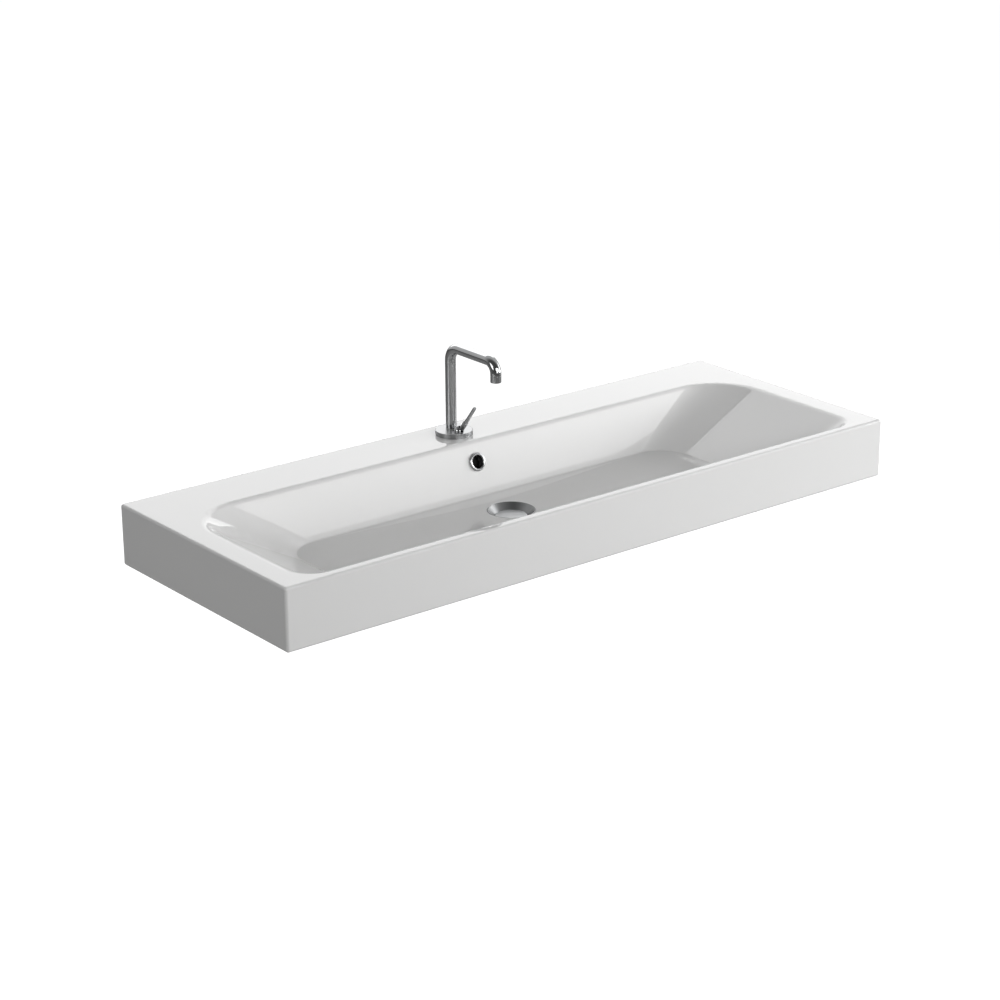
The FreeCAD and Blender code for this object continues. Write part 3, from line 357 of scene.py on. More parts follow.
# What is left of the glaze's colour: a little on the overflow's way down behind the bowl, where hardly
# any light gets in, and all of it elsewhere
def shadeInside(tree, way):
    place, apart = tree.nodes.new("ShaderNodeTexCoord"), tree.nodes.new("ShaderNodeSeparateXYZ")
    tree.links.new(place.outputs["Object"], apart.inputs[0])
    x, y, z = (apart.outputs[axis] for axis in "XYZ")
    leant = mathNode(tree, "MULTIPLY_ADD", z, -way["lean"], y)
    behind = mathNode(tree, "COMPARE", leant, way["middle"], way["halfDepth"])
    amid = mathNode(tree, "COMPARE", x, 0, way["halfWidth"])
    below = mathNode(tree, "LESS_THAN", z, way["top"])
    within = mathNode(tree, "MULTIPLY", mathNode(tree, "MULTIPLY", behind, amid), below)
    return mathNode(tree, "MULTIPLY_ADD", within, way["shade"] - 1, 1)


# One finish: sizes in metres, bump as the height of its grain, other values on the shader's own sockets
def makeFinish(name, look):
    material = bpy.data.materials.new(name)
    material.use_nodes = True
    nodes, links = material.node_tree.nodes, material.node_tree.links
    shader = nodes["Principled BSDF"]
    change = nodes.new("ShaderNodeGroup")
    change.node_tree = surfaceVariation
    change.inputs["Colour"].default_value = (*look["colour"], 1)
    for socket, value in variationValues.items():
        change.inputs[socket].default_value = look[value]
    bump = nodes.new("ShaderNodeBump")
    bump.inputs["Distance"].default_value = look["grainHeight"]
    bump.inputs["Strength"].default_value = 1
    colour = change.outputs["Colour"]
    if "way" in look:
        shaded = nodes.new("ShaderNodeVectorMath")
        shaded.operation = "SCALE"
        links.new(colour, shaded.inputs[0])
        links.new(shadeInside(material.node_tree, look["way"]), shaded.inputs["Scale"])
        colour = shaded.outputs[0]
    links.new(colour, shader.inputs["Base Color"])
    links.new(change.outputs["Roughness"], shader.inputs["Roughness"])
    links.new(change.outputs["Height"], bump.inputs["Height"])
    links.new(bump.outputs["Normal"], shader.inputs["Normal"])
    shader.inputs["Metallic"].default_value = look.get("metallic", 0)
    shader.inputs["IOR"].default_value = look.get("ior", 1.5)
    return material


looks = {
    "glazed_ceramic": dict(
        colour=(0.87, 0.87, 0.865), patchSize=0.35, colourSpread=0.012, roughness=0.025,
        roughnessSpread=0.01, grainSize=0.045, grainHeight=0.00006, ior=1.52, way=overflowWay,
    ),
    "chrome": dict(
        colour=(0.44, 0.445, 0.45), patchSize=0.03, colourSpread=0.015, roughness=0.05,
        roughnessSpread=0.02, grainSize=0.012, grainHeight=0.000001, metallic=1,
    ),
    "satin_chrome": dict(
        colour=(0.33, 0.334, 0.338), patchSize=0.03, colourSpread=0.015, roughness=0.34,
        roughnessSpread=0.03, grainSize=0.004, grainHeight=0.0000015, metallic=1,
    ),
    "brass": dict(
        colour=(0.78, 0.62, 0.33), patchSize=0.01, colourSpread=0.14, roughness=0.28,
        roughnessSpread=0.15, grainSize=0.0006, grainHeight=0.000008, metallic=1,
    ),
    "steel": dict(
        colour=(0.62, 0.63, 0.64), patchSize=0.008, colourSpread=0.08, roughness=0.3,
        roughnessSpread=0.12, grainSize=0.0005, grainHeight=0.000006, metallic=1,
    ),
    "rubber": dict(
        colour=(0.03, 0.03, 0.032), patchSize=0.01, colourSpread=0.3, roughness=0.75,
        roughnessSpread=0.15, grainSize=0.0008, grainHeight=0.00002,
    ),
    "nylon": dict(
        colour=(0.78, 0.78, 0.74), patchSize=0.015, colourSpread=0.06, roughness=0.5,
        roughnessSpread=0.12, grainSize=0.0012, grainHeight=0.00001,
    ),
    "dark_plastic": dict(
        colour=(0.035, 0.035, 0.038), patchSize=0.01, colourSpread=0.2, roughness=0.4,
        roughnessSpread=0.12, grainSize=0.0007, grainHeight=0.00001,
    ),
    "valve_ceramic": dict(
        colour=(0.86, 0.84, 0.78), patchSize=0.008, colourSpread=0.05, roughness=0.2,
        roughnessSpread=0.05, grainSize=0.0005, grainHeight=0.000001,
    ),
}
finishes = {name: makeFinish(name, look) for name, look in looks.items()}
for part in frame["record"]["subparts"]:
    node = frame["nodes"][part["node"]]
    node.data.materials.clear()
    node.data.materials.append(finishes[part["material_slot"]])
print("finishes made:", len(finishes))


# The glazed casting: loops that share one parameter round the basin, joined row by row into a closed skin

# A rounded oblong: an arc at each corner, from the front right one round to the left, and even steps
# along the straights between them. Gives the points and the unit normals that point inwards.
def oblong(half, front, back, frontRound, rearRound):
    steps = basin["cornerSteps"]
    turns = np.linspace(0, math.pi / 2, steps + 1)[:, None]
    corners = [
        (half - frontRound, front + frontRound, frontRound),
        (half - rearRound, back - rearRound, rearRound),
        (rearRound - half, back - rearRound, rearRound),
        (frontRound - half, front + frontRound, frontRound),
    ]
    arcs, outward = [], []
    for quarter, (x, y, radius) in enumerate(corners):
        angles = turns + (quarter - 1) * math.pi / 2
        heading = np.hstack([np.cos(angles), np.sin(angles)])
        arcs.append(np.array([x, y]) + radius * heading)
        outward.append(heading)
    points, normals = [], []
    for quarter in range(4):
        straight = basin["shortSteps"] if quarter % 2 == 0 else basin["longSteps"]
        shares = np.linspace(0, 1, straight + 1)[1:-1, None]
        start, end = arcs[quarter][-1], arcs[(quarter + 1) % 4][0]
        points += [arcs[quarter], start + (end - start) * shares]
        normals += [outward[quarter], np.repeat(outward[quarter][-1:], len(shares), axis=0)]
    return np.vstack(points), -np.vstack(normals)


def level(points, height):
    return np.column_stack([points, np.broadcast_to(height, len(points))])


def between(start, end, share):
    return start + (end - start) * share


# The same oblong with its outline further out by an amount, which lowers only the front's y
def grow(shape, amount):
    return {name: value - amount if name == "front" else value + amount for name, value in shape.items()}


def castingSkin():
    size = basin
    deck, foot, arris = size["deckHeight"], size["footHeight"], size["arris"]
    block, blockIn = oblong(size["halfWidth"], -size["depth"], 0, arris, arris)
    apron, insideRound = size["apron"], size["insideRound"]
    inside, _ = oblong(size["halfWidth"] - apron, apron - size["depth"], -apron, insideRound, insideRound)
    rows = [level(inside, foot)]
    quarter = np.linspace(0, math.pi / 2, size["edgeRows"])
    for turn in quarter:  # foot arris: a quarter circle from the underside out to the apron
        inset = arris * (1 - math.sin(turn))
        rows.append(level(block + blockIn * inset, foot + arris * (1 - math.cos(turn))))
    for turn in quarter:  # top arris
        inset = arris * (1 - math.cos(turn))
        rows.append(level(block + blockIn * inset, deck - arris * (1 - math.sin(turn))))
    rim, rimIn = oblong(**size["rim"])
    floor, floorIn = oblong(**size["floor"])
    # Lip: an arc that touches the deck and the wall at the same distance from their corner. The wall
    # slopes down at its own angle, so the radius is the setback / tan(half the slope)
    slope = np.arctan2(bowlDepth, ((floor - rim) * rimIn).sum(axis=1))[:, None]
    radius = size["lipSetback"] / np.tan(slope / 2)
    for share in np.linspace(0, 1, size["lipRows"]):
        turn = slope * share
        inwards = radius * np.sin(turn) - size["lipSetback"]
        rows.append(level(rim + rimIn * inwards, deck - (radius * (1 - np.cos(turn)))[:, 0]))
    # Foot of the wall: the same between the wall and the floor, read from the wall down
    slope = np.arctan2(bowlDepth, ((floor - rim) * floorIn).sum(axis=1))[:, None]
    radius = size["floorRadius"]
    hollow = []
    for share in np.linspace(1, 0, size["hollowRows"]):
        turn = slope * share
        inwards = radius * (np.tan(slope / 2) - np.sin(turn))
        height = size["floorHeight"] + (radius * (1 - np.cos(turn)))[:, 0]
        hollow.append(level(floor + floorIn * inwards, height))
    lipEnd = rows[-1]
    for share in np.linspace(0, 1, size["wallRows"])[1:-1]:
        rows.append(between(lipEnd, hollow[0], share))
    rows += hollow
    # Floor: eases down to the low pan round the waste
    half, panRound = size["panHalf"], size["panRound"]
    pan, _ = oblong(half, -half, half, panRound, panRound)
    turned = np.arctan2(pan[:, 1], pan[:, 0])
    around = np.column_stack([np.cos(turned), np.sin(turned)])
    waste = np.array([0, size["wasteY"]])
    panRow = level(pan + waste, size["panHeight"])
    for share in np.linspace(0, 1, size["floorRows"])[1:]:
        row = between(hollow[-1], panRow, share)
        ease = (1 - math.cos(math.pi * share)) / 2
        row[:, 2] = between(size["floorHeight"], size["panHeight"], ease)
        rows.append(row)

    def ringRow(radius, height):
        rows.append(level(around * radius + waste, height))

    edge, radius, height = size["recessEdge"], size["recessRadius"], size["panHeight"]
    ringRow(radius + size["recessMargin"], height)
    for turn in quarter:
        ringRow(radius + edge * (1 - math.sin(turn)), height - edge * (1 - math.cos(turn)))
    for radius, height in size["recessSteps"]:
        ringRow(radius, height)
    ringRow(radius, size["bossFoot"])
    edge, radius, height = size["bossEdge"], size["bossRadius"], size["bossFoot"]
    for turn in quarter:
        ringRow(radius - edge * (1 - math.sin(turn)), height + edge * (1 - math.cos(turn)))
    ringRow(radius, foot)
    # Underside: the bowl's shell runs up to the deck, or to the apron where that is nearer
    grown = size["shell"]
    low, _ = oblong(**grow(size["floor"], grown))
    high, _ = oblong(**dict(grow(size["rim"], grown), front=apron / 2 - size["depth"]))
    rows.append(level(low, foot))
    shellTop = deck - size["deckThickness"] / 2
    nearest = apron + size["apronMargin"] - size["depth"]
    reach = np.full(len(low), (deck - size["deckThickness"] - foot) / (shellTop - foot))
    forward = high[:, 1] - low[:, 1]
    stops = low[:, 1] + forward * reach < nearest
    reach[stops] = ((nearest - low[:, 1]) / forward)[stops]
    heights = between(foot, shellTop, reach)
    rows.append(level(between(low, high, reach[:, None]), heights))
    rows.append(level(inside, heights))
    return np.array(rows)


def makeCasting():
    piece = gridMesh("glazed_casting", castingSkin())
    deck, foot, wasteY = basin["deckHeight"], basin["bossFoot"], basin["wasteY"]
    cover, wall, overlap = duct["cover"], duct["wall"], duct["overlap"]
    far, casingRound, passageRound = cover + duct["gap"], duct["casingRound"], duct["passageRound"]
    headHigh, footLow = duct["head"] - wall, deck - foot
    # The casing starts inside the bowl's wall, the pan and the waste's boss
    floorLow = basin["panHeight"] - overlap * 2
    insideBoss = wasteY + basin["recessRadius"] + duct["bossOverlap"]
    casing = slab(
        "duct_casing",
        [
            (wallY(headHigh) + overlap, deck - headHigh, 0),
            (wallY(headHigh) + far + wall, deck - headHigh, casingRound),
            (wallY(footLow) + far + wall, foot, casingRound),
            (insideBoss, foot, 0),
            (insideBoss, floorLow, 0),
            (wallY(deck - floorLow) + overlap, floorLow, 0),
        ],
        duct["width"] / 2 + wall,
    )
    combine(piece, [casing], "UNION")
    sole = footLow - wall
    top = sole - duct["height"]
    passage = slab(
        "duct_passage",
        [
            (wallY(duct["head"]) + cover, deck - duct["head"], 0),
            (wallY(duct["head"]) + far, deck - duct["head"], passageRound),
            (wallY(sole) + far, deck - sole, passageRound),
            (wasteY, deck - sole, 0),
            (wasteY, deck - top, 0),
            (wallY(top) + cover, deck - top, passageRound),
        ],
        duct["width"] / 2,
    )
    reach = (cover + duct["gap"] / 2) * wallNormal
    cutters = [
        passage,
        rod("overflow_hole", duct["overflowRadius"], overflowCentre - reach, overflowCentre + reach),
        post("tap_hole", duct["tapHole"], duct["tapY"], deck + cutPast, duct["tapHoleFoot"]),
    ]
    for spacing in duct["boltSpacings"]:
        for x in (-spacing / 2, spacing / 2):
            start, end = (x, cutPast, 0), (x, -duct["boltDepth"], 0)
            cutters.append(rod("bolt_hole", duct["boltHole"], start, end, sides=48))
    combine(piece, cutters, "DIFFERENCE")
    finishPiece(piece, "basin", "basin_body", "glazed_ceramic")


makeCasting()
print("casting made")


# Overflow ring in the back wall

overflow = {
    "bore": 10.6 * mm,
    "spigot": 12.7 * mm,
    "spigotDepth": 8 * mm,
    "flange": 15.5 * mm,
    "seat": 0.8 * mm,
    "proud": 4.6 * mm,
    "edge": 2.3 * mm,
}


def makeOverflowRing():
    size = overflow
    profile = [
        (size["bore"], -size["spigotDepth"], softEdge),
        (size["spigot"], -size["spigotDepth"], softEdge),
        (size["spigot"], size["seat"], 0),
        (size["flange"], size["seat"], softEdge),
        (size["flange"], size["proud"], size["edge"]),
        (size["bore"], size["proud"], size["edge"]),
    ]
    piece = turnedPiece("overflow_trim", profile, overflowCentre, lean=wallLean, steps=10)
    finishPiece(piece, "basin", "overflow_ring", "chrome")


makeOverflowRing()
print("overflow ring made")


# Waste: dished flange with its tail, and the click-clack plug's cap

waste = {
    "flange": 39.5 * mm,
    "land": 1.2 * mm,
    "rimEdge": 1.5 * mm,
    "dish": 13.5 * mm,
    "dishFloor": 27.5 * mm,
    "metal": 2 * mm,
    "throat": 18.5 * mm,
    "tail": 20.955 * mm,
    "tailLength": 75 * mm,
    "reliefTop": 51.5 * mm,
    "reliefHeight": 1 * mm,
    "reliefDepth": 0.4 * mm,
    "windowWidth": 12 * mm,
    "windowHeight": 10 * mm,
    "windowFoot": -64 * mm,
    "hubRadius": 9 * mm,
    "hubBore": 5 * mm,
    "hubTop": -73 * mm,
    "hubHeight": 8 * mm,
    "spoke": 5 * mm,
    "throatEdge": 0.8 * mm,
    "boreEndEdge": 0.4 * mm,
    "tailEndEdge": 0.6 * mm,
    "neckRound": 0.5 * mm,
    "underRound": 1 * mm,
    "rimFootEdge": 0.4 * mm,
    "landEdge": 0.5 * mm,
    "dishRound": 2.5 * mm,
    "cap": 26 * mm,
    "capFoot": -43 * mm,
    "capThickness": 3 * mm,
    "capCrown": 0.35 * mm,
    "capEdge": 0.6 * mm,
    "capBoss": 5 * mm,
    "capBossLength": 2.5 * mm,
    "capSocket": 3.05 * mm,
}


def bar(name, halfX, halfY, centre, low, high):
    near, far = centre - halfY, centre + halfY
    return slab(name, [(near, low, 0), (far, low, 0), (far, high, 0), (near, high, 0)], halfX)


def makeWaste():
    size = waste
    centre = (0, basin["wasteY"], basin["panHeight"])
    under, end = size["dish"] + size["metal"], size["dish"] + size["tailLength"]
    relief, reliefEnd = size["reliefTop"], size["reliefTop"] + size["reliefHeight"]
    profile = [
        (size["throat"], -size["dish"], size["throatEdge"]),
        (size["throat"], -end, size["boreEndEdge"]),
        (size["tail"], -end, size["tailEndEdge"]),
        (size["tail"], -reliefEnd, 0),
        (size["tail"] - size["reliefDepth"], -reliefEnd, 0),
        (size["tail"] - size["reliefDepth"], -relief, 0),
        (size["tail"], -relief, 0),
        (size["tail"], -under, size["neckRound"]),
        (size["dishFloor"] + size["land"], -under, size["underRound"]),
        (size["flange"], -size["rimEdge"], size["rimFootEdge"]),
        (size["flange"], 0, size["landEdge"]),
        (size["flange"] - size["land"], 0, size["landEdge"]),
        (size["dishFloor"], -size["dish"], size["dishRound"]),
    ]
    piece = turnedPiece("waste_dish", profile, centre, sides=128)
    middle = (size["throat"] + size["tail"]) / 2
    y, low, high = basin["wasteY"], size["hubTop"] - size["hubHeight"], size["hubTop"]
    combine(
        piece,
        [
            bar("spoke_across", middle, size["spoke"] / 2, y, low, high),
            bar("spoke_along", size["spoke"] / 2, middle, y, low, high),
            post("hub", size["hubRadius"], y, low, high),
        ],
        "UNION",
    )
    across, half = size["tail"] + cutPast, size["windowWidth"] / 2
    low, high = size["windowFoot"], size["windowFoot"] + size["windowHeight"]
    below, above = size["hubTop"] - size["hubHeight"] - cutPast, size["hubTop"] + cutPast
    combine(
        piece,
        [
            bar("window_across", across, half, y, low, high),
            bar("window_along", half, across, y, low, high),
            post("hub_bore", size["hubBore"], y, below, above),
        ],
        "DIFFERENCE",
    )
    finishPiece(piece, "basin", "waste_flange", "chrome", finish="satin_chrome")


def makePlugCap():
    size = waste
    # The crown is the drop from the middle to the edge. It grows with the square of the distance
    halfway = 0.5
    profile = [
        (0, 0, 0),
        (size["capSocket"], 0, 0),
        (size["capSocket"], -size["capBossLength"], 0),
        (size["capBoss"], -size["capBossLength"], fineEdge),
        (size["capBoss"], 0, 0),
        (size["cap"], 0, softEdge),
        (size["cap"], size["capThickness"] - size["capCrown"], size["capEdge"]),
        (size["cap"] * halfway, size["capThickness"] - size["capCrown"] * halfway**2, 0),
        (0, size["capThickness"], 0),
    ]
    foot = (0, basin["wasteY"], size["capFoot"])
    piece = turnedPiece("plug_disc", profile, foot, sides=128)
    finishPiece(piece, "plug", "plug_cap", "chrome", finish="steel")


makeWaste()
makePlugCap()
print("waste made")


# Tap: round base, bent spout, aerator shell, and the joystick's turret, rod and sleeve

tap = {
    "discY": -54.5 * mm,
    "discRadius": 31 * mm,
    "discFoot": 60 * mm,
    "discTop": 68 * mm,
    "discEdge": 0.8 * mm,
    "shankRadius": 17.2 * mm,
    "shankFoot": 26 * mm,
    "shankY": -59.5 * mm,
    "seatRadius": 8.55 * mm,
    "seatFoot": 61 * mm,
    "pocketRadius": 6.55 * mm,
    "pocketFoot": 47 * mm,
    "socketRadius": 6.05 * mm,
    "socketFoot": 61.8 * mm,
    "inletRadius": 4.5 * mm,
    "inletX": 5.6 * mm,
    "inletY": -63.7 * mm,
    "inletDepth": 12 * mm,
    "channelRadius": 3 * mm,
    "channelHeight": 55 * mm,
    "grubRadius": 1.45 * mm,
    "grubHeight": 65.8 * mm,
    "gasketRadius": 22.3 * mm,
    "gasketTop": 61 * mm,
    "gasketFoot": 50 * mm,
    "grubEnd": -20 * mm,
}
spoutSize = {
    "y": -47 * mm,
    "foot": 68.6 * mm,
    "armHeight": 208.5 * mm,
    "mouthY": -167 * mm,
    "mouthHeight": 186.5 * mm,
    "radius": 9 * mm,
    "bore": 6.5 * mm,
    "socket": 7.05 * mm,
    "footSocket": 14 * mm,
    "mouthSocket": 5 * mm,
    "rearBend": 24 * mm,
    "frontBend": 20 * mm,
    "edgeRows": 5,
    "sides": 96,
    "bendSteps": 32,
}
aerator = {
    "length": 11 * mm,
    "bore": 5.6 * mm,
    "lip": 1 * mm,
    "lipBore": 5 * mm,
    "spigot": 4.5 * mm,
    "spigotRadius": 7 * mm,
    "edge": 0.6 * mm,
}
joystick = {
    "y": -67.5 * mm,
    "pivot": 63.5 * mm,
    "lean": math.radians(38.8),
    "turret": 8.5 * mm,
    "skirtFoot": 61.1 * mm,
    "domeFoot": 68 * mm,
    "slotHalf": 2.7 * mm,
    "slotBack": 4 * mm,
    "slotShoulder": 66 * mm,
    "slotTopBack": 0.6 * mm,
    "slotRound": 0.4 * mm,
    "pinHole": 1 * mm,
    "pinReach": 10 * mm,
    "stemEnd": 6 * mm,
    "neck": 2.4 * mm,
    "rod": 3 * mm,
    "length": 70 * mm,
    "tipEdge": 0.8 * mm,
    "sleeve": 4.2 * mm,
    "sleeveFit": 0.05 * mm,
    "sleeveStart": 13.2 * mm,
    "sleeveEnd": 31 * mm,
    "sleeveEdge": 0.4 * mm,
}


def makeTapBase():
    size = tap
    height = size["discTop"] - size["discFoot"]
    profile = [
        (0, 0, 0),
        (size["discRadius"], 0, softEdge),
        (size["discRadius"], height, size["discEdge"]),
        (0, height, 0),
    ]
    piece = turnedPiece("tap_base", profile, (0, size["discY"], size["discFoot"]), sides=160)
    shankY, foot = size["shankY"], size["shankFoot"]
    recess = post("gasket_recess", size["gasketRadius"], shankY, size["gasketFoot"], size["gasketTop"])
    combine(piece, [recess], "DIFFERENCE")
    middle = (size["discFoot"] + size["discTop"]) / 2
    combine(piece, [post("shank", size["shankRadius"], shankY, foot, middle)], "UNION")
    y, spoutY, above = joystick["y"], spoutSize["y"], size["discTop"] + 2 * cutPast
    channel, grub = size["channelHeight"], size["grubHeight"]
    cutters = [
        post("turret_seat", size["seatRadius"], y, size["seatFoot"], above),
        post("cartridge_pocket", size["pocketRadius"], y, size["pocketFoot"], above),
        post("spout_socket", size["socketRadius"], spoutY, size["socketFoot"], above),
        post("riser", size["channelRadius"], spoutY, channel, above),
        rod("cross_way", size["channelRadius"], (0, spoutY, channel), (0, y, channel)),
        rod("grub_hole", size["grubRadius"], (0, spoutY, grub), (0, size["grubEnd"], grub), sides=32),
    ]
    for x in (-size["inletX"], size["inletX"]):
        top = foot + size["inletDepth"]
        cutters.append(post("inlet", size["inletRadius"], size["inletY"], foot - cutPast, top, x=x))
    combine(piece, cutters, "DIFFERENCE")
    finishPiece(piece, "basin", "tap_body", "chrome", finish="satin_chrome")


# A round tube carried along the spout's line: out along its outside, back along its bore
def makeSpout():
    size = spoutSize
    line, headings = softPath(
        [
            (size["y"], size["foot"], 0),
            (size["y"], size["armHeight"], size["rearBend"]),
            (size["mouthY"], size["armHeight"], size["frontBend"]),
            (size["mouthY"], size["mouthHeight"], 0),
        ],
        closed=False,
        steps=size["bendSteps"],
    )
    radius = size["radius"]

    # Places, headings and radii of rings: some at given distances from both ends, and one at each point
    # of the bends
    def stations(distances, radii, backwards):
        first = [line[0] + headings[0] * distance for distance in distances[0]]
        last = [line[-1] - headings[-1] * distance for distance in distances[1]]
        places = np.vstack([first, line[1:-1], last])
        ways = np.vstack([headings[:1]] * len(first) + [headings[1:-1]] + [headings[-1:]] * len(last))
        sizes = np.concatenate([radii[0], np.full(len(line) - 2, radii[1]), radii[2]])
        order = slice(None, None, -1) if backwards else slice(None)
        return places[order], ways[order], sizes[order]

    turns = np.linspace(0, math.pi / 2, size["edgeRows"])
    fromEnd, rounded = softEdge * (1 - np.cos(turns)), radius - softEdge + softEdge * np.sin(turns)
    outer = stations((fromEnd, fromEnd[::-1]), (rounded, radius, rounded[::-1]), backwards=False)
    bore, socket, footEnd, mouthEnd = size["bore"], size["socket"], size["footSocket"], size["mouthSocket"]
    depths = (0, footEnd, footEnd), (mouthEnd, mouthEnd, 0)
    inner = stations(depths, ((socket, socket, bore), bore, (bore, socket, socket)), backwards=True)
    places, ways, radii = (np.concatenate([a, b]) for a, b in zip(outer, inner))
    centres = np.column_stack([np.zeros(len(places)), places])
    side = np.array([[1.0, 0, 0]])
    rise = np.column_stack([np.zeros(len(ways)), -ways[:, 1], ways[:, 0]])
    piece = gridMesh("spout_tube", circles(centres, radii, side, rise, size["sides"]))
    finishPiece(piece, "spout", "spout", "chrome")


def makeAerator():
    size, radius = aerator, spoutSize["radius"]
    profile = [
        (size["lipBore"], -size["length"], fineEdge),
        (radius, -size["length"], size["edge"]),
        (radius, 0, softEdge),
        (size["spigotRadius"], 0, 0),
        (size["spigotRadius"], size["spigot"], fineEdge),
        (size["bore"], size["spigot"], fineEdge),
        (size["bore"], size["lip"] - size["length"], 0),
        (size["lipBore"], size["lip"] - size["length"], 0),
    ]
    foot = (0, spoutSize["mouthY"], spoutSize["mouthHeight"])
    piece = turnedPiece("aerator_shell", profile, foot)
    finishPiece(piece, "spout", "aerator_housing", "chrome")


def makeTurret():
    size = joystick
    radius, skirt = size["turret"], size["domeFoot"] - size["skirtFoot"]
    fullRound = radius * 0.999  # the top is a half ball; a hair less, so that the arc ends before the axis
    profile = [
        (0, 0, 0),
        (radius, 0, softEdge),
        (radius, skirt + radius, fullRound),
        (0, skirt + radius, 0),
    ]
    foot = (0, size["y"], size["skirtFoot"])
    piece = turnedPiece("turret_dome", profile, foot, steps=24)
    over, ahead = size["domeFoot"] + radius + cutPast, size["y"] - radius - cutPast
    low = size["skirtFoot"] - cutPast
    slot = slab(
        "lever_slot",
        [
            (size["y"] + size["slotBack"], low, 0),
            (size["y"] + size["slotBack"], size["slotShoulder"], size["slotRound"]),
            (size["y"] - size["slotTopBack"], over, 0),
            (ahead, over, 0),
            (ahead, low, 0),
        ],
        size["slotHalf"],
    )
    left, right = ((x, size["y"], size["pivot"]) for x in (-size["pinReach"], size["pinReach"]))
    hole = rod("pin_hole", size["pinHole"], left, right, sides=32)
    combine(piece, [slot, hole], "DIFFERENCE")
    finishPiece(piece, "turret", "joystick_turret", "chrome")


def makeLever():
    size = joystick
    pivot = (0, size["y"], size["pivot"])
    profile = [
        (0, size["stemEnd"], 0),
        (size["neck"], size["stemEnd"], 0),
        (size["neck"], size["sleeveEnd"], 0),
        (size["rod"], size["sleeveEnd"], 0),
        (size["rod"], size["length"], size["tipEdge"]),
        (0, size["length"], 0),
    ]
    piece = turnedPiece("lever_rod", profile, pivot, lean=size["lean"], sides=64)
    finishPiece(piece, "lever", "joystick_lever", "chrome")
    bore, edge = size["neck"] + size["sleeveFit"], size["sleeveEdge"]
    profile = [
        (bore, size["sleeveStart"], 0),
        (size["sleeve"], size["sleeveStart"], edge),
        (size["sleeve"], size["sleeveEnd"], edge),
        (bore, size["sleeveEnd"], 0),
    ]
    piece = turnedPiece("lever_sleeve", profile, pivot, lean=size["lean"], sides=64)
    finishPiece(piece, "lever", "joystick_sleeve", "chrome")


makeTapBase()
makeSpout()
makeAerator()
makeTurret()
makeLever()
print("tap made")


# Floor, light and camera

view = {
    "target": (64.6 * mm, -225 * mm, -23.7 * mm),
    "distance": 4.2068,
    "azimuth": -39.40,
    "elevation": 19.88,
    "lens": 93.06,
    "sensor": 36,
    "shiftX": -0.05,
    "seesTo": 100,
}
# Where the lamps hang as seen from the middle of the basin: degrees from -Y towards +X, and upwards
lampTarget = (0, -220 * mm, 50 * mm)
lamps = {
    "panel": dict(azimuth=36.5, elevation=12.5, distance=2.9, width=1.5, height=0.55, power=6.4),
    "front": dict(azimuth=0, elevation=12, distance=3.0, width=1.8, height=1.0, power=14.5),
    "front_high": dict(azimuth=0, elevation=25, distance=3.0, width=2.2, height=0.8, power=23.5),
    "low_right": dict(azimuth=63, elevation=7, distance=2.9, width=1.3, height=0.9, power=36),
    "right": dict(azimuth=80, elevation=20, distance=3.0, width=1.6, height=1.2, power=11),
    "back": dict(azimuth=156, elevation=30, distance=3.2, width=3.9, height=2.2, power=47),
    "left": dict(azimuth=-90, elevation=20, distance=3.0, width=1.6, height=1.2, power=16.5),
}
# Light from all round, and what shiny surfaces see of the studio: dark on the camera's side, and bright
# behind the basin. The two limits are cosines of the angle from the bright side's middle
worldLook = {
    "diffuse": 0.04,
    "dark": 0.1,
    "bright": 0.75,
    "darkUntil": -0.35,
    "brightFrom": 0.35,
    "backAzimuth": 140.6,
}
floorLook = {
    "height": -790 * mm,
    "reach": 30.0,
    "points": 9,
    "colour": 0.35,
    "roughness": 0.9,
    "seen": 1,
    "mirrored": 0.12,
}


# The unit way from a target back to what looks at it or lights it
def wayBack(azimuth, elevation):
    a, e = math.radians(azimuth), math.radians(elevation)
    return np.array([math.sin(a) * math.cos(e), -math.cos(a) * math.cos(e), math.sin(e)])


# Hangs a lamp or a camera and turns it to its target
def hang(thing, target, place):
    back = wayBack(place["azimuth"], place["elevation"])
    thing.location = np.array(target) + back * place["distance"]
    thing.rotation_mode = "QUATERNION"
    thing.rotation_quaternion = Vector(back).to_track_quat("Z", "Y")
    scene.collection.objects.link(thing)


# 1 for rays that show the background: straight from the camera or through glass, and off shiny surfaces
def background(tree):
    path = tree.nodes.new("ShaderNodeLightPath").outputs
    straight = mathNode(tree, "MAXIMUM", path["Is Camera Ray"], path["Is Transmission Ray"])
    return straight, path["Is Glossy Ray"]


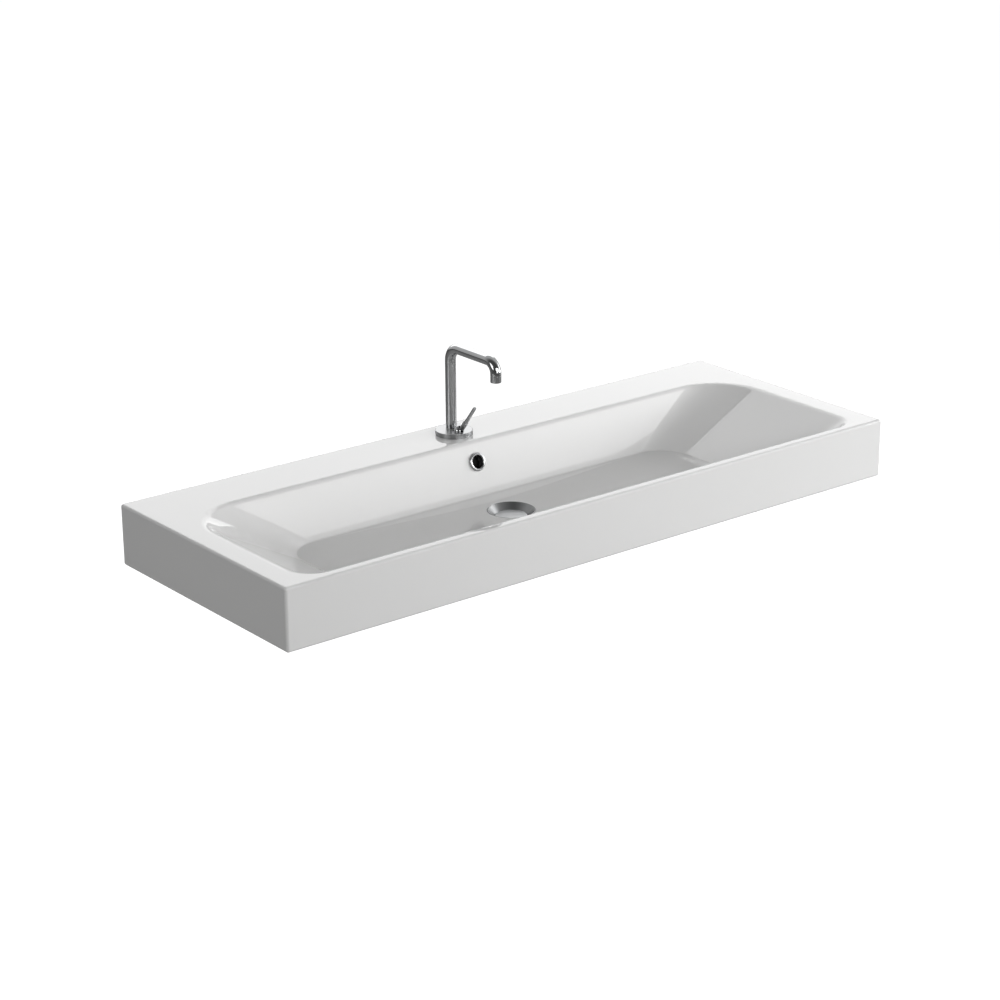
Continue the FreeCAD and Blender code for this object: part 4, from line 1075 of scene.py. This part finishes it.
def makeFloor():
    reach, count = floorLook["reach"], floorLook["points"]
    rows = np.linspace(-reach, reach, count)
    across, along = np.meshgrid(rows, rows, indexing="ij")
    points = np.stack([across, along, np.full_like(across, floorLook["height"])], axis=-1)
    index = np.arange(count * count).reshape(count, count)
    quads = np.stack([index[:-1, :-1], index[1:, :-1], index[1:, 1:], index[:-1, 1:]], axis=-1)
    mesh = bpy.data.meshes.new("floor")
    mesh.from_pydata(points.reshape(-1, 3).tolist(), [], quads.reshape(-1, 4).tolist())
    floor = bpy.data.objects.new("floor", mesh)
    scene.collection.objects.link(floor)
    material = bpy.data.materials.new("pale_floor")
    material.use_nodes = True
    tree = material.node_tree
    shader = tree.nodes["Principled BSDF"]
    shader.inputs["Base Color"].default_value = (*[floorLook["colour"]] * 3, 1)
    shader.inputs["Roughness"].default_value = floorLook["roughness"]
    shader.inputs["Specular IOR Level"].default_value = 0
    shader.inputs["Emission Color"].default_value = (1, 1, 1, 1)
    straight, glossy = background(tree)
    seen = mathNode(tree, "MULTIPLY", straight, floorLook["seen"])
    mirrored = mathNode(tree, "MULTIPLY", glossy, floorLook["mirrored"])
    tree.links.new(mathNode(tree, "MAXIMUM", seen, mirrored), shader.inputs["Emission Strength"])
    mesh.materials.append(material)


def makeWorld():
    world = bpy.data.worlds.new("studio")
    scene.world = world
    world.use_nodes = True
    tree = world.node_tree
    nodes, links = tree.nodes, tree.links
    sky = nodes["Background"]
    sky.inputs["Color"].default_value = (1, 1, 1, 1)
    straight, glossy = background(tree)
    place, facing = nodes.new("ShaderNodeTexCoord"), nodes.new("ShaderNodeVectorMath")
    facing.operation = "DOT_PRODUCT"
    facing.inputs[1].default_value = wayBack(worldLook["backAzimuth"], elevation=0)
    links.new(place.outputs["Generated"], facing.inputs[0])
    side = nodes.new("ShaderNodeMapRange")
    side.interpolation_type = "SMOOTHSTEP"
    side.inputs["From Min"].default_value = worldLook["darkUntil"]
    side.inputs["From Max"].default_value = worldLook["brightFrom"]
    side.inputs["To Min"].default_value = worldLook["dark"]
    side.inputs["To Max"].default_value = worldLook["bright"]
    links.new(facing.outputs["Value"], side.inputs["Value"])
    shiny = mathNode(tree, "MULTIPLY", glossy, side.outputs["Result"])
    shown = mathNode(tree, "MAXIMUM", straight, shiny)
    links.new(mathNode(tree, "MAXIMUM", shown, worldLook["diffuse"]), sky.inputs["Strength"])


def makeLamps():
    for name, lamp in lamps.items():
        light = bpy.data.lights.new(name, "AREA")
        light.shape = "RECTANGLE"
        light.size, light.size_y = lamp["width"], lamp["height"]
        light.energy = lamp["power"]
        holder = bpy.data.objects.new(name, light)
        holder.visible_camera = False
        hang(holder, lampTarget, lamp)


def makeCamera():
    lens = bpy.data.cameras.new("camera")
    lens.sensor_width = view["sensor"]
    lens.lens = view["lens"]
    lens.shift_x = view["shiftX"]
    lens.clip_end = view["seesTo"]
    camera = bpy.data.objects.new("camera", lens)
    hang(camera, view["target"], view)
    scene.camera = camera


makeFloor()
makeWorld()
makeLamps()
makeCamera()
scene.view_settings.view_transform = "Standard"
print("floor, light and camera made")
